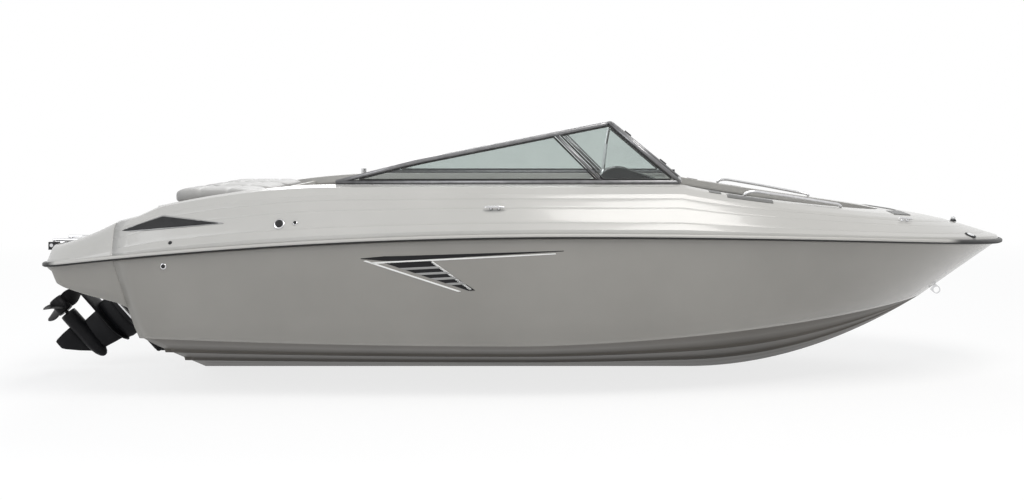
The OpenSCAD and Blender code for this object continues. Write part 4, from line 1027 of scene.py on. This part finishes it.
skeg = foil_stack("drive_skeg", [(-drop - .03, -.175, -.435, .0068), (-drop - .12, -.26, -.437, .0062),
                                 (-drop - .19, -.335, -.432, .005), (-drop - .208, -.36, -.425, .003)], drive_paint.mat)
side_parts = []
for k, m in enumerate((1, -1)):
    ear = slab(f"drive_ear_{k}", [(-.078, -.026), (.024, -.026), (.024, .026), (-.078, .026)], m * .078, m * .1045,
               "drive", drive_paint.mat, bevel=0)
    co = np.zeros(len(ear.data.vertices) * 3)
    ear.data.vertices.foreach_get("co", co)
    ear.data.vertices.foreach_set("co", (up_turned(co.reshape(-1, 3) - KEEL_TO_ROW) + KEEL_TO_ROW).ravel())
    ear.modifiers.clear()
    side_parts.append(outward(ear))
    side_parts.append(lathe(f"ear_boss_{k}", [(.015, .1), (.03, .1), (.03, .1046), (.015, .1046)], PIVOT, (0, m, 0),
                            "drive", drive_paint.mat))
cyl_y = .190
eye_line = up_turned((-.380, 0, -.150))
pin = lathe("eye_pin", [(.001, -.2038), (.0085, -.2036), (.0085, .2036), (.001, .2038)], eye_line,
            (0, 1, 0), "drive", steel.mat)
shaft_piece = lathe("prop_shaft", [(.001, -.06), (.012, -.058), (.015, -.04), (.015, .08), (.001, .081)],
                    up_turned((-.60, 0, -drop)), TURN @ np.array([1.0, 0, 0]), "drive", steel.mat)
ribs_on_leg = [foil_stack(f"leg_rib_{k}", [(z, -.08, -.418, .0798), (z - .012, -.08, -.418, .0798)], drive_paint.mat)
               for k, z in enumerate((-.06, -.24))]
drive = join("drive_leg_piece", [leg, lower, plate, skeg, *side_parts, *ribs_on_leg])
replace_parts(drive, "drive_leg", "tilt_lugs")
print("drive drawn; torpedo at", np.round(up_turned((-.6, 0, -drop)), 3))

# %% [markdown]
# A propeller blade is a twisted leaf. Along its radius the chord widens then closes to a round
# tip, and the pitch angle falls, because the tip travels further per turn than the root.

# %% Propeller
R = .185
rho = np.linspace(.046, R - .0005, 22)[:, None]
frac = (rho - .046) / (R - .046)
chord = .058 * np.sqrt(np.maximum(0, 1 - (np.maximum(0, (frac - .45) / .55)) ** 2.6))
chord = chord + .022 * np.sin(math.pi * frac)
chord = np.maximum(chord, .003)
pitch = np.radians(56 - 34 * frac)
w = np.linspace(0, 2 * math.pi, 28, endpoint=False)[None, :]
along, thick = chord * np.cos(w), (.0045 - .003 * frac) * np.sin(w)
sweep_angle = .25 * frac ** 2
theta = (along * np.cos(pitch) - thick * np.sin(pitch)) / rho + sweep_angle
axial = along * np.sin(pitch) + thick * np.cos(pitch)
blades = []
for k in range(3):
    turn = theta + k * 2 * math.pi / 3 + .35
    P = np.stack([-.60 - .004 + axial, rho * np.sin(turn), -drop + rho * np.cos(turn)], -1)
    blades.append(grid_object(f"blade_{k}", up_turned(P), "propeller", drive_paint.mat, wrap_cols=True, caps=True))
hub_piece = lathe("prop_hub", [(.0165, -.056), (.053, -.056), (.056, -.05), (.054, 0), (.0505, .058),
                               (.048, .063), (.0165, .063)],
                  up_turned((-.60, 0, -drop)), TURN @ np.array([-1.0, 0, 0]), "propeller", drive_paint.mat)
prop = join("propeller_piece", [*blades, hub_piece])
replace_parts(prop, "propeller")
print("blade chord", round(float(chord.max()) * 2, 3), "m")

# %% [markdown]
# Deck hardware: horn cleats, bow grab rails, lamps, the fuel filler, drain and vents. Each is
# set on the deck from the deck's own surface, so that it sits square to it.


# %% Placing things on the deck
def deck_place(x, r, side=-1):
    """Point, forward direction and normal of the deck at x along and r across."""
    s = np.linspace(0, 1, 600)
    row = deck_surface(s, np.full(600, r))
    s0 = float(np.interp(x, row[:, 0], s))
    e = 1e-3
    p, q, w2 = (deck_surface(np.array([c]), np.array([b]))[0] for c, b in
                ((s0, r), (min(1, s0 + e), r), (s0, min(1, r + e))))
    f, g = unit(q - p), unit(w2 - p)
    n = unit(np.cross(g, f))
    n = n if n[2] > 0 else -n
    flip = np.array([1, side, 1])
    return p * flip, f * flip, n * flip


def deck_at(x, r):
    """Deck points at x along and r across. At one r the deck runs straight from the transom to
    its own fore end, so the share along is (x - fore) / (length at that r)."""
    x, r = np.broadcast_arrays(np.asarray(x, float), np.asarray(r, float))
    s = (x - TRANSOM_TOP_X) / (lerp(BOW_X, 4.95, r) - TRANSOM_TOP_X)
    return deck_surface(np.clip(s, 0, 1), r)


def patch_on(name, P, lift, material, side=-1, thick=0.003):
    """A thin skin on a grid of surface points, lifted along the grid's own normals."""
    n = unit(np.cross(np.gradient(P, axis=0), np.gradient(P, axis=1)))
    n *= np.sign(n[..., 2:3] + 1e-9)
    ob = outward(grid_object(name, (P + n * lift) * np.array([1, side, 1]), "hull", material))
    m = ob.modifiers.new("wall", "SOLIDIFY")
    m.thickness, m.offset = thick, 0
    return ob


def deck_patch(name, corners, lift, material, side=-1, thick=0.003):
    """A thin plate on the deck over four corners given as (x, r)."""
    c = np.array(corners, float)
    t1, t2 = np.meshgrid(np.linspace(0, 1, 24), np.linspace(0, 1, 8), indexing="ij")
    xr = (c[0] * ((1 - t1) * (1 - t2))[..., None] + c[1] * (t1 * (1 - t2))[..., None]
          + c[2] * (t1 * t2)[..., None] + c[3] * ((1 - t1) * t2)[..., None])
    return patch_on(name, deck_at(xr[..., 0], xr[..., 1]), lift, material, side, thick)


def along_edge(points, t):
    """Points at shares t of a line whose given (x, z) points are evenly shared out."""
    stops = np.linspace(0, 1, len(points))
    return np.stack([np.interp(t, stops, np.array(points)[:, k]) for k in (0, 1)], -1)


def flank_patch(name, top, low, lift, material, side=-1, n=(60, 10)):
    """A plate on the deck's flank between two edge lines of (x, z) points. The share across
    that gives each height is found by halving an interval thirty times."""
    t, v = np.linspace(0, 1, n[0]), np.linspace(0, 1, n[1])
    line = along_edge(top, t), along_edge(low, t)
    xz = line[0][:, None] * (1 - v)[None, :, None] + line[1][:, None] * v[None, :, None]
    a, b = np.zeros(xz.shape[:2]), np.full(xz.shape[:2], 0.75)
    for _ in range(30):
        half_way = (a + b) / 2
        above = deck_at(xz[..., 0], half_way)[..., 2] > xz[..., 1]
        a, b = np.where(above, a, half_way), np.where(above, half_way, b)
    return patch_on(name, deck_at(xz[..., 0], a), lift, material, side)


def horn_cleat(name, x, r, side):
    """Two posts and a tapered cross bar, its radius (1 - |t|^3)^(1/2) of the middle one."""
    p, f, n = deck_place(x, r, side)
    t = np.linspace(-1, 1, 24)[:, None]
    bar = p + n * (.0225 - .004 * t ** 4) + f * .069 * t
    rad = .0085 * np.maximum(.12, 1 - np.abs(t) ** 3) ** .5
    g = np.cross(n, f)
    q = ring(1, 14)
    P = bar[:, None] + (q[None, :, :1] * g + q[None, :, 1:] * n) * rad[:, None]
    pieces = [grid_object(name + "_bar", P, "hull", steel.mat, wrap_cols=True, caps=True)]
    for k in (-1, 1):
        pieces.append(lathe(name + f"_post{k}", [(.001, .0), (.013, .0), (.008, .006), (.007, .02), (.001, .021)],
                            p + f * .025 * k, n, material=steel.mat, n=20))
    return join(name, pieces)


cleats = [horn_cleat(f"cleat_{i}_{k}", x, r, m) for k, m in enumerate((1, -1))
          for i, (x, r) in enumerate(((2.22, .27), (5.0, .40)))]
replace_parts(cleats[0], "cleats")
print("cleats on the deck:", len(cleats))

# %% Rails, lamps and small fittings
rail_parts = []
for k, m in enumerate((1, -1)):
    a3 = np.array([3.860, .900, float(crest_z(3.86))])
    b3 = np.array([4.560, .640, float(crest_z(4.56))])
    pts = [a3 + (0, 0, .004), a3 + (.02, -.006, .024), a3 + (.07, -.012, .031), lerp(a3, b3, .5) + (0, .008, .034),
           b3 + (-.07, .014, .031), b3 + (-.02, .004, .024), b3 + (0, 0, .004)]
    rail_parts.append(tube(f"grab_{k}", [np.array(p) * (1, m, 1) for p in pts], .0105, .05, material=steel.mat))
grab = join("bow_grab_rails", rail_parts)
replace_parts(grab, "bow_rails")
lo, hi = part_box("nav_lights")
c = np.array((lo + hi) / 2) - KEEL_TO_ROW
nav = join("bow_light", [
    lathe("nav_base", [(.001, 0), (.0235, 0), (.0235, .006), (.019, .016), (.001, .017)],
          (c[0], 0, float(lo[2]) - KEEL_TO_ROW[2] + .004), (0, 0, 1), material=black_plastic.mat),
    lathe("nav_lens", [(.017, .015), (.0175, .028), (.014, .036), (.001, .0375)],
          (c[0], 0, float(lo[2]) - KEEL_TO_ROW[2] + .004), (0, 0, 1), material=lens_clear.mat)])
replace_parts(nav, "nav_lights")
lo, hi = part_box("deck_fittings")
caps = []
for k, (x, rad) in enumerate(((None, .036), (None, .015))):
    node_x = float((lo if k == 0 else hi)[0]) - KEEL_TO_ROW[0] + (rad if k == 0 else -rad)
    p, f, n = deck_place(node_x, .11 + .17 * .35, -1)
    caps.append(lathe(f"filler_ring_{k}", [(.001, 0), (rad, 0), (rad * .98, .004), (rad * .8, .006), (.001, .006)], p, n,
                      material=steel.mat))
    caps.append(lathe(f"filler_cap_{k}", [(.001, .005), (rad * .72, .005), (rad * .72, .011), (rad * .5, .0135),
                                             (.001, .0135)], p, n,
                      material=black_plastic.mat))
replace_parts(join("fuel_filler", caps), "deck_fittings")
for k, m in enumerate((1, -1)):
    q, f, n = deck_place(5.50, .06, m)
    lathe(f"docking_lamp_{k}", [(.001, .0005), (.040, .0005), (.040, .004), (.034, .007), (.001, .008)], q, n,
          material=black_plastic.mat)
    lathe(f"docking_lens_{k}", [(.001, .006), (.027, .006), (.024, .0095), (.001, .0115)], q, n,
          material=lens_clear.mat)
    deck_patch(f"step_pad_a{k}", [(3.62, .62), (3.70, .62), (3.70, .90), (3.62, .90)], .002, vinyl_dark.mat, m)
    deck_patch(f"step_pad_b{k}", [(3.74, .56), (4.05, .56), (4.05, .74), (3.74, .74)], .002, vinyl_dark.mat, m)
    deck_patch(f"speaker_pad{k}", [(4.95, .60), (5.10, .60), (5.10, .86), (4.95, .86)], .002, vinyl_dark.mat, m)
    q, f, n = deck_place(.137, .07, m)
    # the drain is a solid black disc: painted shade of its opening
    lathe(f"deck_drain_shade_{k}", [(.001, 0), (.013, 0), (.011, .0035), (.001, .004)], q, n,
          material=black_plastic.mat, n=24)
    at = side_at(.098, .875) * (1, m, 1)
    lathe(f"side_outlet_{k}", [(.001, -.004), (.021, -.004), (.02, .004), (.015, .006), (.001, .0055)], at, (0, m, 0),
          material=steel.mat, n=32)
    # the bore is a black disc: painted shade of the hole's dark inside
    lathe(f"side_outlet_bore_shade_{k}", [(.001, .004), (.0135, .004), (.0135, .0064), (.001, .0066)], at, (0, m, 0),
          material=black_plastic.mat, n=32)
    # a flat grey skin round the vent stands for its recess: painted shade, as the hollow is not modelled
    flank_patch(f"vent_recess_painted_shade_{k}", [(-.258, 1.084), (.053, 1.193), (.47, 1.148)],
                [(-.258, 1.080), (.053, 1.104), (.47, 1.143)], .001, stripe_grey.mat, m)
    flank_patch(f"flank_vent_{k}", [(-.23, 1.0875), (.053, 1.183), (.432, 1.1465)],
                [(-.23, 1.086), (.053, 1.112), (.432, 1.1445)], .004, black_plastic.mat, m)
print("fittings set")

# %% [markdown]
# The hull side carries plain generic stripes: a long black wedge with a pale line under it, a
# slanting pale line, and a dark slanted panel crossed by grey bars. Each is a thin skin laid
# just off the hull by reading the hull's own surface at points in x and z.


# %% Stripes on the topsides
def side_patch(name, top, low, material, lift=0.0007, n=(60, 6), mirror_y=-1):
    """A skin between two edge lines given as (x, z) points, on the topsides."""
    t, v = np.linspace(0, 1, n[0]), np.linspace(0, 1, n[1])
    a, b = along_edge(top, t), along_edge(low, t)
    xz = a[:, None] * (1 - v)[None, :, None] + b[:, None] * v[None, :, None]
    P = side_at(xz[..., 0], xz[..., 1])
    nrm = unit(np.cross(np.gradient(P, axis=0), np.gradient(P, axis=1)))
    nrm *= np.sign(nrm[..., 1:2] + 1e-9)
    P = (P + nrm * lift) * np.array([1, mirror_y, 1])
    ob = outward(grid_object(name, P, "hull", material))
    m = ob.modifiers.new("wall", "SOLIDIFY")
    m.thickness, m.offset = 0.0006, 0
    return ob


for k, m in enumerate((1, -1)):
    side_patch(f"wedge_stripe_{k}", [(1.37, .929), (1.52, .943), (1.62, .945), (2.667, .979)],
               [(1.37, .925), (1.52, .9125), (1.62, .914), (2.667, .975)], stripe_black.mat, mirror_y=m)
    side_patch(f"wedge_line_{k}", [(1.434, .904), (2.616, .963)], [(1.434, .893), (2.616, .956)],
               stripe_white.mat, mirror_y=m)
    side_patch(f"slant_line_{k}", [(1.405, .916), (2.010, .716)], [(1.385, .912), (1.990, .712)],
               stripe_white.mat, mirror_y=m)
    side_patch(f"panel_edge_{k}", [(1.830, .911), (2.078, .730)], [(1.818, .905), (2.064, .724)],
               stripe_white.mat, mirror_y=m)
    side_patch(f"dark_panel_{k}", [(1.52, .900), (1.815, .914)], [(2.06, .718), (2.10, .722)], stripe_black.mat,
               mirror_y=m, n=(30, 24))
    for b in range(4):
        f0, f1 = .18 + b * .18, .25 + b * .18
        e = lambda p, q, f: (lerp(p[0], q[0], f), lerp(p[1], q[1], f))
        side_patch(f"panel_bar_{k}{b}", [e((1.52, .900), (2.06, .718), f0), e((1.815, .914), (2.10, .722), f0)],
                   [e((1.52, .900), (2.06, .718), f1), e((1.815, .914), (2.10, .722), f1)], stripe_grey.mat,
                   lift=.0014, n=(30, 4), mirror_y=m)
print("stripes laid")

# %% [markdown]
# The studio: a pale floor just under the keel, soft lamps from above and in front, and a white
# background wherever the camera, a mirror or glass sees past the boat.

# %% Floor, backdrop and lamps
floor_z = KEEL_TO_ROW[2] - 0.004
me = bpy.data.meshes.new("floor")
HALF_FLOOR = 60
corners = [(x * HALF_FLOOR, y * HALF_FLOOR, floor_z) for x, y in ((-1, -1), (1, -1), (1, 1), (-1, 1))]
me.from_pydata(corners, [], [(0, 1, 2, 3)])
floor = bpy.data.objects.new("floor", me)
bpy.context.scene.collection.objects.link(floor)
fm = Finish("floor_paper", Roughness=0.9)
fm.shader.inputs["Base Color"].default_value = (0.93, 0.93, 0.93, 1)
path = fm.node("ShaderNodeLightPath")
glow = fm.node("ShaderNodeEmission")
glow.inputs["Color"].default_value = (1, 1, 1, 1)
mix = fm.node("ShaderNodeMixShader")
far = fm.node("ShaderNodeVectorMath", operation="LENGTH")
fm.link(fm.where, far.inputs[0])
haze = fm.node("ShaderNodeMapRange")
for socket, value in (("From Min", 4.0), ("From Max", 12.0), ("To Min", 0.78), ("To Max", 1.0)):
    haze.inputs[socket].default_value = value
fm.link(far.outputs["Value"], haze.inputs["Value"])
seen_floor = fm.math("MAXIMUM", fm.math("MAXIMUM", path.outputs["Is Camera Ray"], path.outputs["Is Glossy Ray"]),
                     path.outputs["Is Transmission Ray"])
pick = fm.math("MULTIPLY", seen_floor, haze.outputs["Result"])
fm.link(pick, mix.inputs[0])
fm.link(fm.shader.outputs[0], mix.inputs[1])
fm.link(glow.outputs[0], mix.inputs[2])
fm.link(mix.outputs[0], fm.tree.nodes["Material Output"].inputs["Surface"])
me.materials.append(fm.mat)

world = bpy.data.worlds.new("studio")
bpy.context.scene.world = world
world.use_nodes = True
wt = world.node_tree
dim, bright = wt.nodes["Background"], wt.nodes.new("ShaderNodeBackground")
dim.inputs["Color"].default_value = (0.92, 0.95, 1, 1)
dim.inputs["Strength"].default_value = 0.42
bright.inputs["Color"].default_value = (1, 1, 1, 1)
lp, wm = wt.nodes.new("ShaderNodeLightPath"), wt.nodes.new("ShaderNodeMixShader")
seen = wt.nodes.new("ShaderNodeMath")
seen.operation = "MAXIMUM"
wt.links.new(lp.outputs["Is Camera Ray"], seen.inputs[0])
wt.links.new(lp.outputs["Is Transmission Ray"], seen.inputs[1])
also = wt.nodes.new("ShaderNodeMath")
also.operation = "MAXIMUM"
wt.links.new(seen.outputs[0], also.inputs[0])
wt.links.new(lp.outputs["Is Glossy Ray"], also.inputs[1])
wt.links.new(also.outputs[0], wm.inputs[0])
wt.links.new(dim.outputs[0], wm.inputs[1])
wt.links.new(bright.outputs[0], wm.inputs[2])
wt.links.new(wm.outputs[0], wt.nodes["World Output"].inputs["Surface"])


def lamp(name, where, aim, size, power, colour=(1, 1, 1)):
    """A square soft lamp that faces a point."""
    from mathutils import Vector
    data = bpy.data.lights.new(name, "AREA")
    data.size, data.energy, data.color = size, power, colour
    ob = bpy.data.objects.new(name, data)
    ob.location = where
    ob.rotation_euler = (Vector(aim) - Vector(where)).to_track_quat("-Z", "Y").to_euler()
    bpy.context.scene.collection.objects.link(ob)
    return ob


lamp("key", (3.0, -4.5, 8.5), (0, 0, 0.3), 5, 640, (1, 0.98, 0.95))
lamp("fill", (-7, -5, 4.5), (0, 0, 0.3), 5, 200, (0.95, 0.97, 1))
lamp("back", (-2, 8, 6.5), (0, 0, 0.5), 5, 420)
bpy.context.scene.view_settings.view_transform = "Standard"
print("studio ready")
